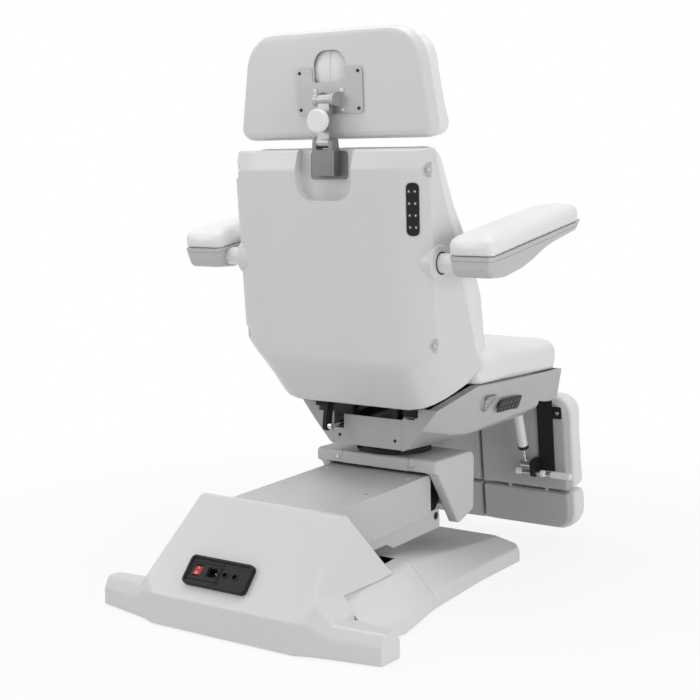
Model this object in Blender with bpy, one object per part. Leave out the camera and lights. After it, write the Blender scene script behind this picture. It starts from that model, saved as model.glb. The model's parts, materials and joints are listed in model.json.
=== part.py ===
"""Electric pedicure chair: parallelogram lift, swivel head, tilting seat, reclining back, split leg rests.

The sitter faces -Y, and the sitter's right hand is at -X. The origin is on the floor under the swivel axis.
"""
import math

import bmesh
import bpy
from mathutils import Matrix, Vector

for old in list(bpy.data.objects):
    bpy.data.objects.remove(old, do_unlink=True)

# Clearances, in metres
SEAT_GAP = 0.0004        # between pieces that rest on each other
PIN_PLAY = 0.0008        # a bore's radius over its pin
RUN_GAP = 0.0020         # between pieces that swing past each other
ROUND_SIDES = 16         # sides of a pin, tube or bore

# Floor frame and its two grey covers
FLOOR_PLATE = 0.008
FRAME_MARGIN = 0.035     # floor plate beyond the arm
FRAME_FRONT = -0.240
COVER_WALL = 0.004
COVER_LIFT = 0.003       # covers stand clear of the floor by this much
COVER_NOSE_Y = -0.305
COVER_SEAM_Y = 0.270
COVER_MARGIN = 0.092     # grey cover beyond the tower
COVER_WAIST = 0.045      # its narrowing from the widest place to the seam
COVER_TAPER = 0.040      # and from the seam to the nose
COVER_FRONT_TOP = 0.062
COVER_REAR_TOP = 0.116
COVER_EDGE = 0.040       # height of the covers' upright outer edge
COVER_SHOULDER = 0.075   # width of the slope inside that edge
TROUGH_FLOOR = 0.030     # top of the floor of the trough under the arm
TROUGH_SIDE = 0.018      # trough's side clear of the arm
COVER_NOSE = 0.050
COVER_BELLY = 0.030      # widest place, in front of the arm's root
COVER_TAIL = 0.100       # rear end, behind the arm's root
COVER_TAIL_TUCK = 0.027
UPRIGHT_FOOT = 0.060
COVER_POST = 0.080

# Lift arm: a parallelogram of an upper arm and a lower link
HEAD_PIN_Y = 0.030
HEAD_PIN_Z = 0.265
ARM_LENGTH = 0.470
ARM_SLOPE = math.radians(2.4)
LINK_DROP = 0.090        # lower pins under the upper ones
PIN_RADIUS = 0.010
BOSS_RADIUS = 0.022
PLATE = 0.006            # steel side plates
ARM_HALF = 0.155
PLATE_INSET = 0.055      # arm plate inside the arm cover
PLATE_PLAY = 0.012       # frame plates beside the arm plates
ARM_SHEET = 0.003
ARM_COVER_TOP = 0.030    # cover's top over the line of the upper pins
ARM_COVER_DEPTH = 0.112
LINK_CHANNEL_DEPTH = 0.034
LIFT_ROD_RADIUS = 0.010
LIFT_BODY_RADIUS = 0.020
LIFT_PIN = 0.006
LIFT_FOOT_BACK = 0.060   # actuator's foot pin in front of the arm's root
LIFT_FOOT_Z = 0.100
LIFT_HEAD_ALONG = 0.380  # actuator's upper pin along the arm and under it
LIFT_HEAD_DROP = 0.036
LUG_FOOT = 0.030
LUG_TOP = 0.012
ARM_TIE_START = 0.150
ARM_TIE_END = 0.350
ARM_COVER_SHORT = 0.036
ARM_COVER_TAIL = 0.048
LINK_FLOOR_START = 0.260
CUP_GAP = 0.0050         # rod's cup to the pin it pushes, where a closed linkage is left open

# White rear cover: tower over the arm's root, and two foot wings
TOWER_MARGIN = 0.057     # tower beyond the arm
TOWER_SPLAY = 0.033      # tower foot beyond the tower
TOWER_TOP = 0.285
WING_SPAN = 0.126
WING_HEIGHT = 0.073
WING_DEPTH = 0.075
REAR_BULGE = 0.052       # how far the rear edge bows out at the middle
WING_ROOT = 0.045        # wing root beyond the tower foot
WING_GAP = 0.022         # wing's front behind the grey cover
TOWER_KNEE = 0.240       # start of the sloping face, behind the arm's root
TOWER_KNEE_Z = 0.075
TOWER_CREST = 0.062
TOWER_LIP = 0.040
TOWER_MOUTH = -0.115
TOWER_FLANGE = 0.012

# Inlet panel on the tower's rear face
INLET_X = 0.044
INLET_WIDTH = 0.190
INLET_HEIGHT = 0.075
INLET_DEPTH = 0.010
INLET_Z = 0.1325
ROCKER_OFFSET = 0.062
SOCKET_OFFSET = 0.018
JACK_OFFSET = 0.021
JACK_RADIUS = 0.006
JACK_PITCH = 0.030
SOCKET_DEPTH = 0.018
ROCKER_SWING = 0.0032    # room at the rocker's ends to tip
SOCKET_WIDTH = 0.030
SOCKET_HEIGHT = 0.026
ROCKER_WIDTH = 0.024
ROCKER_HEIGHT = 0.030

# Head housing and swivel
HEAD_MARGIN = 0.035      # housing beyond the arm
HEAD_WALL = 0.004
HEAD_RISE = 0.072        # housing's top over the upper head pin
HEAD_FRONT_Y = -0.105
HEAD_REAR_Y = 0.100
HEAD_SEAM = 0.005        # housing's seams beyond the arm plates
HEAD_CHEEK = 0.118       # cheek's tip under the upper head pin
HEAD_TIP_Y = -0.024
HEAD_LIP = 0.035
HEAD_PLATE = 0.008
HEAD_PLATE_HALF = 0.080
SPINDLE_DEPTH = 0.042
DISC_RADIUS = 0.100
DISC_HEIGHT = 0.014
SPINDLE_RADIUS = 0.026
TILT_Y = 0.085
TILT_RISE = 0.034
TILT_LUG_X = 0.060
TILT_BOSS = 0.012
TILT_PIN = 0.008
TILT_DRIVE_X = -0.030    # tilt actuator's plane
TILT_FOOT_Y = -0.060
TILT_FOOT_RISE = 0.021
DRIVE_RADIUS = 0.016
DRIVE_ROD = 0.006
DRIVE_PIN = 0.005

# Seat: tub, frame and cushion
RIM_RISE = 0.181         # tub's rim over the swivel disc
SEAT_HALF = 0.290
SEAT_FRONT = -0.425
SEAT_REAR = 0.135
TUB_WALL = 0.004
TUB_REAR_DROP = 0.057    # rim's fall at the rear end
TUB_HOLE_HALF = 0.105    # opening over the swivel
TUB_HOLE_FRONT = 0.206
TUB_HOLE_REAR = 0.118
BACK_SLOT_HALF = 0.157
KNEE_NOTCH = 0.036
TUB_DEPTH = 0.172
TUB_KEEL_HALF = 0.120
TUB_FRONT_DEPTH = 0.108
TUB_FLARE = 0.035        # front knee of the tub inside its rim
TUB_SIDE_FLARE = 0.085   # side knee inside the rim
TUB_REAR_FLARE = 0.045   # rear rim to its knee
TUB_REAR_TUCK = 0.075    # rear end of the rim inside its sides
TUB_WAIST_Y = -0.060
TUB_THIGH_Y = -0.280
TUB_WAIST_RISE = 0.030   # knee over the keel at the waist
SEAT_CUSHION_HEIGHT = 0.082
SEAT_CUSHION_REAR = 0.030
SEAT_CROWN = 0.012
SEAT_FALL = 0.42         # share of its height that the cushion loses at the rear
SEAT_FALL_RUN = 0.100
FRAME_TIP_Y = -0.405
HINGE_BOSS = 0.020
TORQUE_RADIUS = 0.010
DRIVE_Y = -0.300
DRIVE_DROP = 0.0874      # actuator pins on the seat frame, under the rim
DRIVE_EYE = 0.006
KEYPAD_LENGTH = 0.120
KEYPAD_HEIGHT = 0.040
KEYPAD_DEPTH = 0.003
KEYPAD_Y = -0.175
KEYPAD_Z = 0.460
HOOK_WIDTH = 0.060
HOOK_HEIGHT = 0.052
HOOK_WIRE = 0.002
HOOK_PLATE = 0.003
HOOK_Y = -0.055
HOOK_Z = 0.470
RAIL_X = 0.138           # side rails of the seat frame
RAIL_WIDTH = 0.030
RAIL_HEIGHT = 0.030
RAIL_DROP = 0.055        # rails' middle under the rim
PANEL_HALF = 0.108
PANEL_RISE = 0.085
PANEL_SHEET = 0.004
LEVER_X = 0.095          # back actuator's plane
LEVER_WIDTH = 0.011
LEVER_AFT = 0.012        # lever's pin from the recline axis
LEVER_DROP = 0.080
LEVER_BOSS = 0.014

# Back: shell, frame and cushion, measured from the recline axis
BACK_AXIS_Y = 0.165
BACK_AXIS_DROP = 0.037   # axis under the rim
BACK_HALF = 0.295
BACK_WALL = 0.004
SEAM_FOOT_Y = -0.106
SEAM_FOOT_Z = 0.090
SEAM_TOP_Y = 0.124
SEAM_TOP_Z = 0.642
SHELL_EDGE_Y = 0.035     # lowest edge of the shell
SHELL_EDGE_Z = -0.017
SHELL_LOW_Y = 0.130
SHELL_LOW_Z = 0.105
SHELL_HIGH_Y = 0.172
SHELL_FLAT_HALF = 0.170  # half the width of the flat middle
SHELL_EDGE_TUCK = 0.075
SHELL_EDGE_LIFT = 0.072
SHELL_SIDE_TUCK = 0.026
SHELL_LOW_LIFT = 0.045
SHELL_SPACE_TOP = 0.500
SHELL_BROW = 0.050       # top edge over the start of its round
SHELL_BROW_TUCK = 0.014
BACK_SHARES = (0.0, 0.3, 0.5, 0.68, 0.82, 0.92, 1.0)  # places of its rows across the bend
BACK_MOUTH = 0.033
BACK_MOUTH_HALF = 0.185
BACK_PAD_WIDTH = 0.032
BACK_PAD_HEIGHT = 0.127
BACK_PAD_Z = 0.496
RECESS_Z = 0.515
RECESS_HALF = 0.085
RECESS_DEPTH = 0.033
POCKET_LOW_Z = 0.165
POCKET_HIGH_Z = 0.590
POCKET_RADIUS = 0.019
POCKET_EDGE = 0.002      # its middle inside the shell's side
POCKET_DEPTH = 0.010
POCKET_WALL = 0.003
AXLE_BOSS = 0.034        # swelling of the shell round the armrest axle
AXLE_BOSS_OUT = 0.006
AXLE_BOSS_IN = 0.045
BACK_CUSHION_TOP = 0.055
BACK_CUSHION_MIDDLE = 0.115
BACK_PLATE_X = 0.168
BACK_PLATE_FOOT = 0.018
BACK_BEND_Y = 0.075      # outer bend of the side plates
BACK_BEND_Z = 0.100
BACK_PLATE_Y = 0.118     # upper end of the side plates
BACK_PLATE_Z = 0.440
BACK_PLATE_DEPTH = 0.040
BACK_TIE = 0.024

# Headrest
NECK_Y = 0.158           # lower headrest hinge, from the recline axis
NECK_Z = 0.658
LINK_LENGTH = 0.105
LINK_WIDTH = 0.036
LINK_THICK = 0.016
NECK_PIN = 0.008
EAR_WIDTH = 0.012
HEADREST_FOOT = 0.006    # headrest's lower edge over the lower hinge
HEADREST_HEIGHT = 0.271
HEADREST_FOOT_HALF = 0.300
HEADREST_TOP_HALF = 0.256
HEADREST_CORNER = 0.095
HEADREST_SHELL_DEPTH = 0.032
HEADREST_PAD_DEPTH = 0.075
HEADREST_LEAN = math.radians(4.0)
NECK_PLATE = 0.004
KNOB_RADIUS = 0.029
KNOB_HEIGHT = 0.024
KNOB_STEM = 0.005
KNOB_STAND = 0.009       # knob's face behind the link
NECK_EYE = 0.013
NECK_STAND = 0.005
BRACKET_HALF = 0.055
BRACKET_DROP = 0.090
NECK_PLATE_HALF = 0.100
NECK_PLATE_LOW = -0.036
NECK_PLATE_HIGH = 0.078
WINDOW_HALF = 0.050
WINDOW_HEIGHT = 0.078

# Armrests
ARM_AXLE_Y = 0.097       # from the recline axis
ARM_AXLE_Z = 0.367
ARM_AXLE_RADIUS = 0.024
ARMREST_GAP = 0.050      # between the back's side and the armrest
ARMREST_WIDTH = 0.130
ARMREST_LENGTH = 0.490
ARMREST_REAR = 0.052     # behind the axle
ARMREST_TILT = math.radians(9.6)
ARMREST_LINE = 0.028     # pad's underside over the axle
ARMREST_PAD = 0.044
ARMREST_DEEP = 0.062     # shell's depth at the axle

# Leg rests
KNEE_Y = -0.440
KNEE_DROP = 0.077        # knee axis under the rim
LEG_LEAN = math.radians(8.0)
LEG_OVER = 0.008         # leg pad beyond the seat's side
LEG_SPLIT = 0.004        # half the gap between the two legs
LEG_TOP = 0.016          # pad's top under the knee axis
LEG_LENGTH = 0.296
LEG_SHELL_DEPTH = 0.028
LEG_PAD_DEPTH = 0.076
TRAY_INSET = 0.013       # tray inside the pad's edge
LEG_CORNER = 0.055
FOOT_GAP = 0.008
FOOT_LENGTH = 0.122
FOOT_TRAVEL = 0.100
GUIDE_RADIUS = 0.006
GUIDE_LENGTH = FOOT_TRAVEL + 0.040
GUIDE_IN = 0.090
GUIDE_EDGE = 0.084       # outer guide inside the leg's outer edge
LEG_RAIL_INSET = 0.065   # leg rail inside the seat's side
LEG_RAIL_WIDTH = 0.050
LEG_RAIL_THICK = 0.006
LEG_RAIL_LENGTH = 0.235
KNEE_PIN = 0.008
KNEE_KNUCKLE = 0.013
KNEE_PLAY = 0.0045       # between the knee lugs and the rail's knuckle
STRUT_PLAY = 0.0035      # between the strut and the inner knee lug
STRUT_RADIUS = 0.014
STRUT_ROD_RADIUS = 0.005
STRUT_PIN = 0.005
STRUT_FOOT = 0.210       # strut's lower pin along the leg
STRUT_STAND = 0.030      # strut's lower pin behind the leg's rear face
STRUT_TOP_Y = 0.074      # strut's upper pin, from the knee axis
STRUT_TOP_Z = -0.005
STRUT_EYE = 0.010
LEVER_FOOT = 0.236       # release lever along the leg
LEVER_RADIUS = 0.006
GRIP_RADIUS = 0.010
GRIP_LENGTH = 0.068

# Sizes that follow
FRAME_HALF = ARM_HALF + FRAME_MARGIN
ARM_PLATE_X = ARM_HALF - PLATE_INSET
FRAME_PLATE_X = ARM_PLATE_X + PLATE + PLATE_PLAY
TOWER_HALF = ARM_HALF + TOWER_MARGIN
TOWER_FOOT_HALF = TOWER_HALF + TOWER_SPLAY
WING_ROOT_HALF = TOWER_FOOT_HALF + WING_ROOT
WING_HALF = WING_ROOT_HALF + WING_SPAN
COVER_REAR_HALF = TOWER_FOOT_HALF + COVER_MARGIN
COVER_SEAM_HALF = COVER_REAR_HALF - COVER_WAIST
COVER_FRONT_HALF = COVER_SEAM_HALF - COVER_TAPER
HEAD_HALF = ARM_HALF + HEAD_MARGIN
HEAD_SEAM_X = ARM_PLATE_X + HEAD_SEAM
TUB_FRONT_HALF = SEAT_HALF - TUB_FLARE
LEG_WIDTH = SEAT_HALF + LEG_OVER - LEG_SPLIT
GUIDE_OUT = LEG_WIDTH - GUIDE_EDGE
LEG_RAIL_X = SEAT_HALF - LEG_RAIL_INSET
KNEE_LUG_IN = LEG_RAIL_X - LEG_RAIL_WIDTH / 2 - KNEE_PLAY - PLATE
KNEE_LUG_OUT = LEG_RAIL_X + LEG_RAIL_WIDTH / 2 + KNEE_PLAY + PLATE
STRUT_X = KNEE_LUG_IN - STRUT_PLAY - STRUT_RADIUS
RIM = HEAD_PIN_Z + HEAD_RISE + SEAT_GAP + DISC_HEIGHT + RIM_RISE
HEAD_TOP = HEAD_PIN_Z + HEAD_RISE
DISC_TOP = HEAD_TOP + SEAT_GAP + DISC_HEIGHT
ROOT_Y = HEAD_PIN_Y + ARM_LENGTH * math.cos(ARM_SLOPE)
ROOT_Z = HEAD_PIN_Z - ARM_LENGTH * math.sin(ARM_SLOPE)
TILT_Z = DISC_TOP + TILT_RISE
BACK_AXIS_Z = RIM - BACK_AXIS_DROP
KNEE_Z = RIM - KNEE_DROP
RAIL_Z = RIM - RAIL_DROP
STRUT_A_Y = KNEE_Y + STRUT_TOP_Y
STRUT_A_Z = KNEE_Z + STRUT_TOP_Z
SEAM_RUN = (SEAM_TOP_Y - SEAM_FOOT_Y) / (SEAM_TOP_Z - SEAM_FOOT_Z)
SHELL_LEAN = (SHELL_HIGH_Y - SHELL_LOW_Y) / (SEAM_TOP_Z - SHELL_BROW - SHELL_LOW_Z)
SEAM_LENGTH = math.hypot(SEAM_TOP_Y - SEAM_FOOT_Y, SEAM_TOP_Z - SEAM_FOOT_Z)

# Finishes: colour, roughness, metallic
WHITE_LEATHER = ((0.86, 0.85, 0.83), 0.45, 0.0)
WHITE_PLASTIC = ((0.80, 0.80, 0.80), 0.35, 0.0)
LIGHT_GREY = ((0.56, 0.56, 0.57), 0.45, 0.0)
MID_GREY = ((0.54, 0.54, 0.54), 0.45, 0.0)
GREY_PAINT = ((0.52, 0.52, 0.51), 0.40, 0.2)
DARK_STEEL = ((0.10, 0.10, 0.11), 0.45, 0.6)
BRIGHT_STEEL = ((0.62, 0.62, 0.64), 0.25, 1.0)
BLACK_PLASTIC = ((0.02, 0.02, 0.02), 0.35, 0.0)
RED_PLASTIC = ((0.60, 0.02, 0.03), 0.30, 0.0)


def fillet(corners, steps=3):
    """Closed outline through (u, v, radius) corners, each rounded by an arc of so many steps."""
    points = []
    for i, (u, v, radius) in enumerate(corners):
        corner = Vector((u, v))
        before = Vector(corners[i - 1][:2]) - corner
        after = Vector(corners[(i + 1) % len(corners)][:2]) - corner
        half = before.angle(after) / 2
        reach = min(radius / math.tan(half), 0.48 * before.length, 0.48 * after.length)
        straight = half > 1.56
        if straight:
            reach = 0.3 * min(before.length, after.length)
        start = before.normalized() * reach
        end = after.normalized() * reach
        middle = (start + end) / math.cos(half) ** 2 / 2 if not straight else Vector((0, 0))
        start -= middle
        end -= middle
        sweep = start.angle(end)
        for k in range(steps + 1):
            t = k / steps
            arc = start * (1 - t) + end * t
            if not straight:
                arc = start * math.sin((1 - t) * sweep) + end * math.sin(t * sweep)
                arc /= math.sin(sweep)
            points.append(corner + middle + arc)
    return points


def on_plane(axis, level, outline):
    """An outline set across the X, Y or Z axis at one level."""
    if axis == "X":
        return [Vector((level, u, v)) for u, v in outline]
    if axis == "Y":
        return [Vector((u, level, v)) for u, v in outline]
    return [Vector((u, v, level)) for u, v in outline]


def outward(solid):
    """Solid with all its faces turned outward."""
    solid.normal_update()
    bmesh.ops.recalc_face_normals(solid, faces=solid.faces[:])
    if solid.calc_volume(signed=True) < 0:
        bmesh.ops.reverse_faces(solid, faces=solid.faces[:])
    return solid


def skin(rings):
    """Solid through closed rings of equal count, with flat ends."""
    bm = bmesh.new()
    rows = [[bm.verts.new(p) for p in ring] for ring in rings]
    for row, following in zip(rows, rows[1:]):
        for i in range(len(row)):
            bm.faces.new((row[i - 1], row[i], following[i], following[i - 1]))
    bm.faces.new(rows[0])
    bm.faces.new(rows[-1])
    bm.normal_update()
    bmesh.ops.connect_verts_nonplanar(bm, angle_limit=0.002, faces=bm.faces[:])
    return outward(bm)


def prism(axis, low, high, corners, steps=3):
    """Outline with rounded corners, extruded along an axis."""
    outline = fillet(corners, steps)
    return skin([on_plane(axis, low, outline), on_plane(axis, high, outline)])


def block(x, y, z):
    """Plain rectangular solid between pairs of limits."""
    corners = [(x[0], y[0]), (x[1], y[0]), (x[1], y[1]), (x[0], y[1])]
    return skin([[Vector((u, v, level)) for u, v in corners] for level in z])


def turned(start, end, profile, sides=ROUND_SIDES):
    """Turned solid between two points: profile holds (share of the length, radius) pairs."""
    start = Vector(start)
    run = Vector(end) - start
    frame = run.to_track_quat("Z", "Y").to_matrix()
    rings = []
    for share, radius in profile:
        angles = [2 * math.pi * k / sides for k in range(sides)]
        centre = start + run * share
        ring = [Vector((radius * math.cos(a), radius * math.sin(a), 0)) for a in angles]
        rings.append([centre + frame @ point for point in ring])
    return skin(rings)


def bar(start, end, radius, sides=ROUND_SIDES):
    """Plain round bar between two points."""
    return turned(start, end, [(0, radius), (1, radius)], sides)


def turn(solid, angle, axis_point=(0, 0, 0), shift=(0, 0, 0)):
    """Solid turned about an X axis, the front end upward, and shifted."""
    place = Matrix.Translation(Vector(axis_point) + Vector(shift))
    solid.transform(place @ Matrix.Rotation(-angle, 4, "X"))
    return solid


def placed(solid, origin, along, out):
    """Solid drawn flat, set with its V direction along one way and its depth along another."""
    frame = Matrix(((1, 0, 0), along, out)).transposed().to_4x4()
    solid.transform(Matrix.Translation(origin) @ frame)
    return outward(solid)


def world(empty):
    """Place of a pivot in the part's own frame."""
    place = Vector(empty.location)
    return place + world(empty.parent) if empty.parent else place


def pivot(name, place, parent=None):
    """Empty on a joint's axis, which carries the pieces that move together."""
    empty = bpy.data.objects.new(name + "_axis", None)
    empty.empty_display_size = 0.03
    bpy.context.collection.objects.link(empty)
    empty.parent = parent
    empty.location = Vector(place) - (world(parent) if parent else Vector())
    return empty


def finish_material(name, finish):
    """Principled surface of one colour, roughness and metallic value."""
    colour, roughness, metallic = finish
    material = bpy.data.materials.new(name)
    material.use_nodes = True
    shader = material.node_tree.nodes["Principled BSDF"]
    shader.inputs["Base Color"].default_value = (*colour, 1.0)
    shader.inputs["Roughness"].default_value = roughness
    shader.inputs["Metallic"].default_value = metallic
    material.diffuse_color = (*colour, 1.0)
    return material


def raw_object(name, solid):
    """Object of a solid that is still in the part's own frame."""
    mesh = bpy.data.meshes.new(name)
    solid.to_mesh(mesh)
    solid.free()
    obj = bpy.data.objects.new(name, mesh)
    bpy.context.collection.objects.link(obj)
    return obj


def combine(obj, solid, operation):
    """Fuse a solid to the object, or cut it away."""
    tool = raw_object("tool", solid)
    modifier = obj.modifiers.new("combine", "BOOLEAN")
    modifier.object = tool
    modifier.operation = operation
    graph = bpy.context.evaluated_depsgraph_get()
    result = bpy.data.meshes.new_from_object(obj.evaluated_get(graph))
    obj.modifiers.clear()
    obj.data = result
    bpy.data.objects.remove(tool, do_unlink=True)


def shaped(solids, cuts=()):
    """Solids fused into one, less the cuts."""
    obj = raw_object("shape", solids[0])
    for solid in solids[1:]:
        combine(obj, solid, "UNION")
    for solid in cuts:
        combine(obj, solid, "DIFFERENCE")
    result = bmesh.new()
    result.from_mesh(obj.data)
    bpy.data.objects.remove(obj, do_unlink=True)
    bmesh.ops.remove_doubles(result, verts=result.verts[:], dist=0.00002)
    bmesh.ops.dissolve_degenerate(result, edges=result.edges[:], dist=0.00001)
    return result


def piece(name, finish, body, solids, cuts=()):
    """Named sub-part: solids fused into one, less the cuts, with its origin on its body's pivot."""
    obj = raw_object(name, shaped(solids, cuts))
    obj.data.transform(Matrix.Translation(-world(body)))
    obj.parent = body
    obj.data.name = name
    obj.data.materials.clear()
    obj.data.materials.append(finish_material(name, finish))
    obj.data.shade_smooth()
    obj.data.set_sharp_from_angle(angle=math.radians(35))
    return obj


def mirrored(side, x):
    """Pair of X limits on one side of the middle, lower first."""
    return tuple(sorted(side * value for value in x))


# Pivots, one for each body that moves
base = pivot("base", (0, 0, 0))
arm = pivot("lift", (0, ROOT_Y, ROOT_Z), base)
link = pivot("lower_link", (0, ROOT_Y, ROOT_Z - LINK_DROP), base)
head = pivot("head_level", (0, HEAD_PIN_Y, HEAD_PIN_Z), arm)
swivel = pivot("swivel", (0, 0, DISC_TOP), head)
seat = pivot("seat_tilt", (0, TILT_Y, TILT_Z), swivel)
back = pivot("recline", (0, BACK_AXIS_Y, BACK_AXIS_Z), seat)
neck = pivot("headrest_link", (0, BACK_AXIS_Y + NECK_Y, BACK_AXIS_Z + NECK_Z), back)
headrest = pivot("headrest_tilt", (0, BACK_AXIS_Y + NECK_Y, BACK_AXIS_Z + NECK_Z + LINK_LENGTH), neck)


def on_arm(along, rise):
    """Place on the lift arm: so far from the rear pin towards the head, so far over the pins' line."""
    y = ROOT_Y - along * math.cos(ARM_SLOPE) + rise * math.sin(ARM_SLOPE)
    return y, ROOT_Z + along * math.sin(ARM_SLOPE) + rise * math.cos(ARM_SLOPE)


# Places that the lower pieces share
LINK_HALF = ARM_HALF - ARM_SHEET - RUN_GAP
TROUGH_HALF = ARM_HALF + TROUGH_SIDE
COVER_TAIL_Y = ROOT_Y + COVER_TAIL
LIFT_FOOT_Y = ROOT_Y - LIFT_FOOT_BACK
LIFT_HEAD_Y, LIFT_HEAD_Z = on_arm(LIFT_HEAD_ALONG, -LIFT_HEAD_DROP)
TILT_FOOT_Z = DISC_TOP + TILT_FOOT_RISE
SPINDLE_FOOT_Z = HEAD_TOP - SPINDLE_DEPTH
TOWER_KNEE_Y = ROOT_Y + TOWER_KNEE
TOWER_CREST_Y = ROOT_Y + TOWER_CREST
TOWER_MOUTH_Y = ROOT_Y + TOWER_MOUTH
TOWER_LIP_Y = ROOT_Y + TOWER_LIP


def capsule(first, second, radius):
    """Corners of a bar outline with round ends about two points."""
    first = Vector(first)
    second = Vector(second)
    run = (second - first).normalized() * radius
    across = Vector((-run.y, run.x))
    ends = [first - run - across, second + run - across, second + run + across, first - run + across]
    return [(p.x, p.y, radius * 0.98) for p in ends]


def cover_section(y, half, top, wall=0.0):
    """Cross-section of a floor cover, or of the space one wall inside it."""
    low = -COVER_LIFT if wall else COVER_LIFT
    shoulder = half - COVER_SHOULDER
    round_over = 0.006 if wall else 0.030
    side = half - 1.5 * wall
    right = [(side, low, 0.002), (side, COVER_EDGE - 1.5 * wall, 0.015),
             (shoulder, top - 1.5 * wall, round_over)]
    left = [(-u, v, r) for u, v, r in reversed(right)]
    return on_plane("Y", y, fillet(right + left))


def cover_middle():
    """Place, half width and height of the front cover at its middle."""
    waist = COVER_FRONT_HALF + 0.25 * (COVER_SEAM_HALF - COVER_FRONT_HALF)
    height = COVER_FRONT_TOP + 0.35 * (COVER_REAR_TOP - COVER_FRONT_TOP)
    return (COVER_NOSE_Y + COVER_SEAM_Y) / 2, waist, height


def cover_ceiling(y):
    """Underside of the front cover's top, between its middle and the seam."""
    middle, _, height = cover_middle()
    share = (y - middle) / (COVER_SEAM_Y + COVER_WALL - middle)
    return height + share * (COVER_REAR_TOP - height) - 1.5 * COVER_WALL


def build_base_frame():
    """Steel floor plate, two uprights that carry the arm's pins, and lugs for the lift actuator."""
    edge = 0.040
    corners = [(-FRAME_HALF, FRAME_FRONT, edge), (FRAME_HALF, FRAME_FRONT, edge)]
    corners += [(FRAME_HALF, COVER_TAIL_Y, edge), (-FRAME_HALF, COVER_TAIL_Y, edge)]
    solids = [prism("Z", 0.0, FLOOR_PLATE, corners)]
    sunk = FLOOR_PLATE / 2
    for side in (-1, 1):
        outline = [(ROOT_Y - UPRIGHT_FOOT, sunk, 0.001), (ROOT_Y + UPRIGHT_FOOT, sunk, 0.001)]
        outline += [(ROOT_Y + BOSS_RADIUS, ROOT_Z + BOSS_RADIUS, BOSS_RADIUS * 0.9)]
        outline += [(ROOT_Y - BOSS_RADIUS, ROOT_Z + BOSS_RADIUS, BOSS_RADIUS * 0.9)]
        solids.append(prism("X", *mirrored(side, (FRAME_PLATE_X, FRAME_PLATE_X + PLATE)), outline))
        outline = [(LIFT_FOOT_Y - LUG_FOOT, sunk, 0.001), (LIFT_FOOT_Y + LUG_FOOT, sunk, 0.001)]
        outline += [(LIFT_FOOT_Y + LUG_TOP, LIFT_FOOT_Z + LUG_TOP, LUG_TOP * 0.9)]
        outline += [(LIFT_FOOT_Y - LUG_TOP, LIFT_FOOT_Z + LUG_TOP, LUG_TOP * 0.9)]
        inner = LIFT_BODY_RADIUS + RUN_GAP
        solids.append(prism("X", *mirrored(side, (inner, inner + PLATE)), outline))
    post = (-COVER_POST, COVER_POST)
    start = COVER_SEAM_Y + COVER_NOSE
    post_top = TROUGH_FLOOR - COVER_WALL - SEAT_GAP
    solids.append(block(post, (start, start + COVER_NOSE), (sunk, post_top)))
    start = COVER_SEAM_Y - 4 * COVER_NOSE
    ends = [(y, cover_ceiling(y) - SEAT_GAP, 0.001) for y in (start + COVER_NOSE, start)]
    solids.append(prism("X", *post, [(start, sunk, 0.001), (start + COVER_NOSE, sunk, 0.001), *ends]))
    reach = FRAME_PLATE_X + PLATE / 2
    solids.append(bar((-reach, ROOT_Y, ROOT_Z), (reach, ROOT_Y, ROOT_Z), PIN_RADIUS))
    low = ROOT_Z - LINK_DROP
    solids.append(bar((-LINK_HALF, ROOT_Y, low), (LINK_HALF, ROOT_Y, low), PIN_RADIUS))
    reach = LIFT_BODY_RADIUS + RUN_GAP + PLATE / 2
    solids.append(bar((-reach, LIFT_FOOT_Y, LIFT_FOOT_Z), (reach, LIFT_FOOT_Y, LIFT_FOOT_Z), LIFT_PIN))
    piece("base_frame", DARK_STEEL, base, solids)


def cover_space(stations):
    """Hollow of a floor cover."""
    return skin([cover_section(*station, wall=COVER_WALL) for station in stations])


def build_base_covers():
    """Moulded covers over the floor plate: a front and a rear piece that meet at a seam."""
    nose = COVER_NOSE_Y + COVER_NOSE
    body = [(nose, COVER_FRONT_HALF, COVER_FRONT_TOP), cover_middle()]
    seam = (COVER_SEAM_HALF, COVER_REAR_TOP)
    tip = (COVER_NOSE_Y, COVER_FRONT_HALF - COVER_NOSE, COVER_EDGE + 0.004)
    chin = (COVER_NOSE_Y + COVER_NOSE / 4, COVER_FRONT_HALF - COVER_NOSE / 2, COVER_FRONT_TOP - 0.006)
    front = skin([cover_section(*s) for s in [tip, chin, *body, (COVER_SEAM_Y - SEAT_GAP, *seam)]])
    start = (FRAME_FRONT + COVER_NOSE, COVER_FRONT_HALF, COVER_FRONT_TOP)
    space = cover_space([start, body[1], (COVER_SEAM_Y + COVER_WALL, *seam)])
    plate = FRAME_HALF + RUN_GAP
    well = block((-plate, plate), (FRAME_FRONT - RUN_GAP, 1), (-1, FLOOR_PLATE + RUN_GAP))
    piece("base_cover_front", LIGHT_GREY, base, [front], [space, well])

    body = [(ROOT_Y - COVER_BELLY, COVER_REAR_HALF, COVER_REAR_TOP)]
    tail = (COVER_TAIL_Y, COVER_REAR_HALF - COVER_TAIL_TUCK, COVER_REAR_TOP)
    rear = skin([cover_section(*s) for s in [(COVER_SEAM_Y + SEAT_GAP, *seam), *body, tail]])
    space = cover_space([(COVER_SEAM_Y - COVER_WALL, *seam), *body,
                         (COVER_TAIL_Y + COVER_WALL, *tail[1:])])
    outer = TROUGH_HALF + COVER_WALL
    space = shaped([space], [block((-outer, outer), (-1, 1), (TROUGH_FLOOR - COVER_WALL, 1))])
    trough_x = (-TROUGH_HALF, TROUGH_HALF)
    trough = block(trough_x, (COVER_SEAM_Y + COVER_WALL, 1), (TROUGH_FLOOR, 1))
    slot_front = LIFT_FOOT_Y - LUG_FOOT - RUN_GAP
    slot = block(trough_x, (slot_front, 1), (-1, 1))
    piece("base_cover_rear", LIGHT_GREY, base, [rear], [space, trough, slot])


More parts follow.
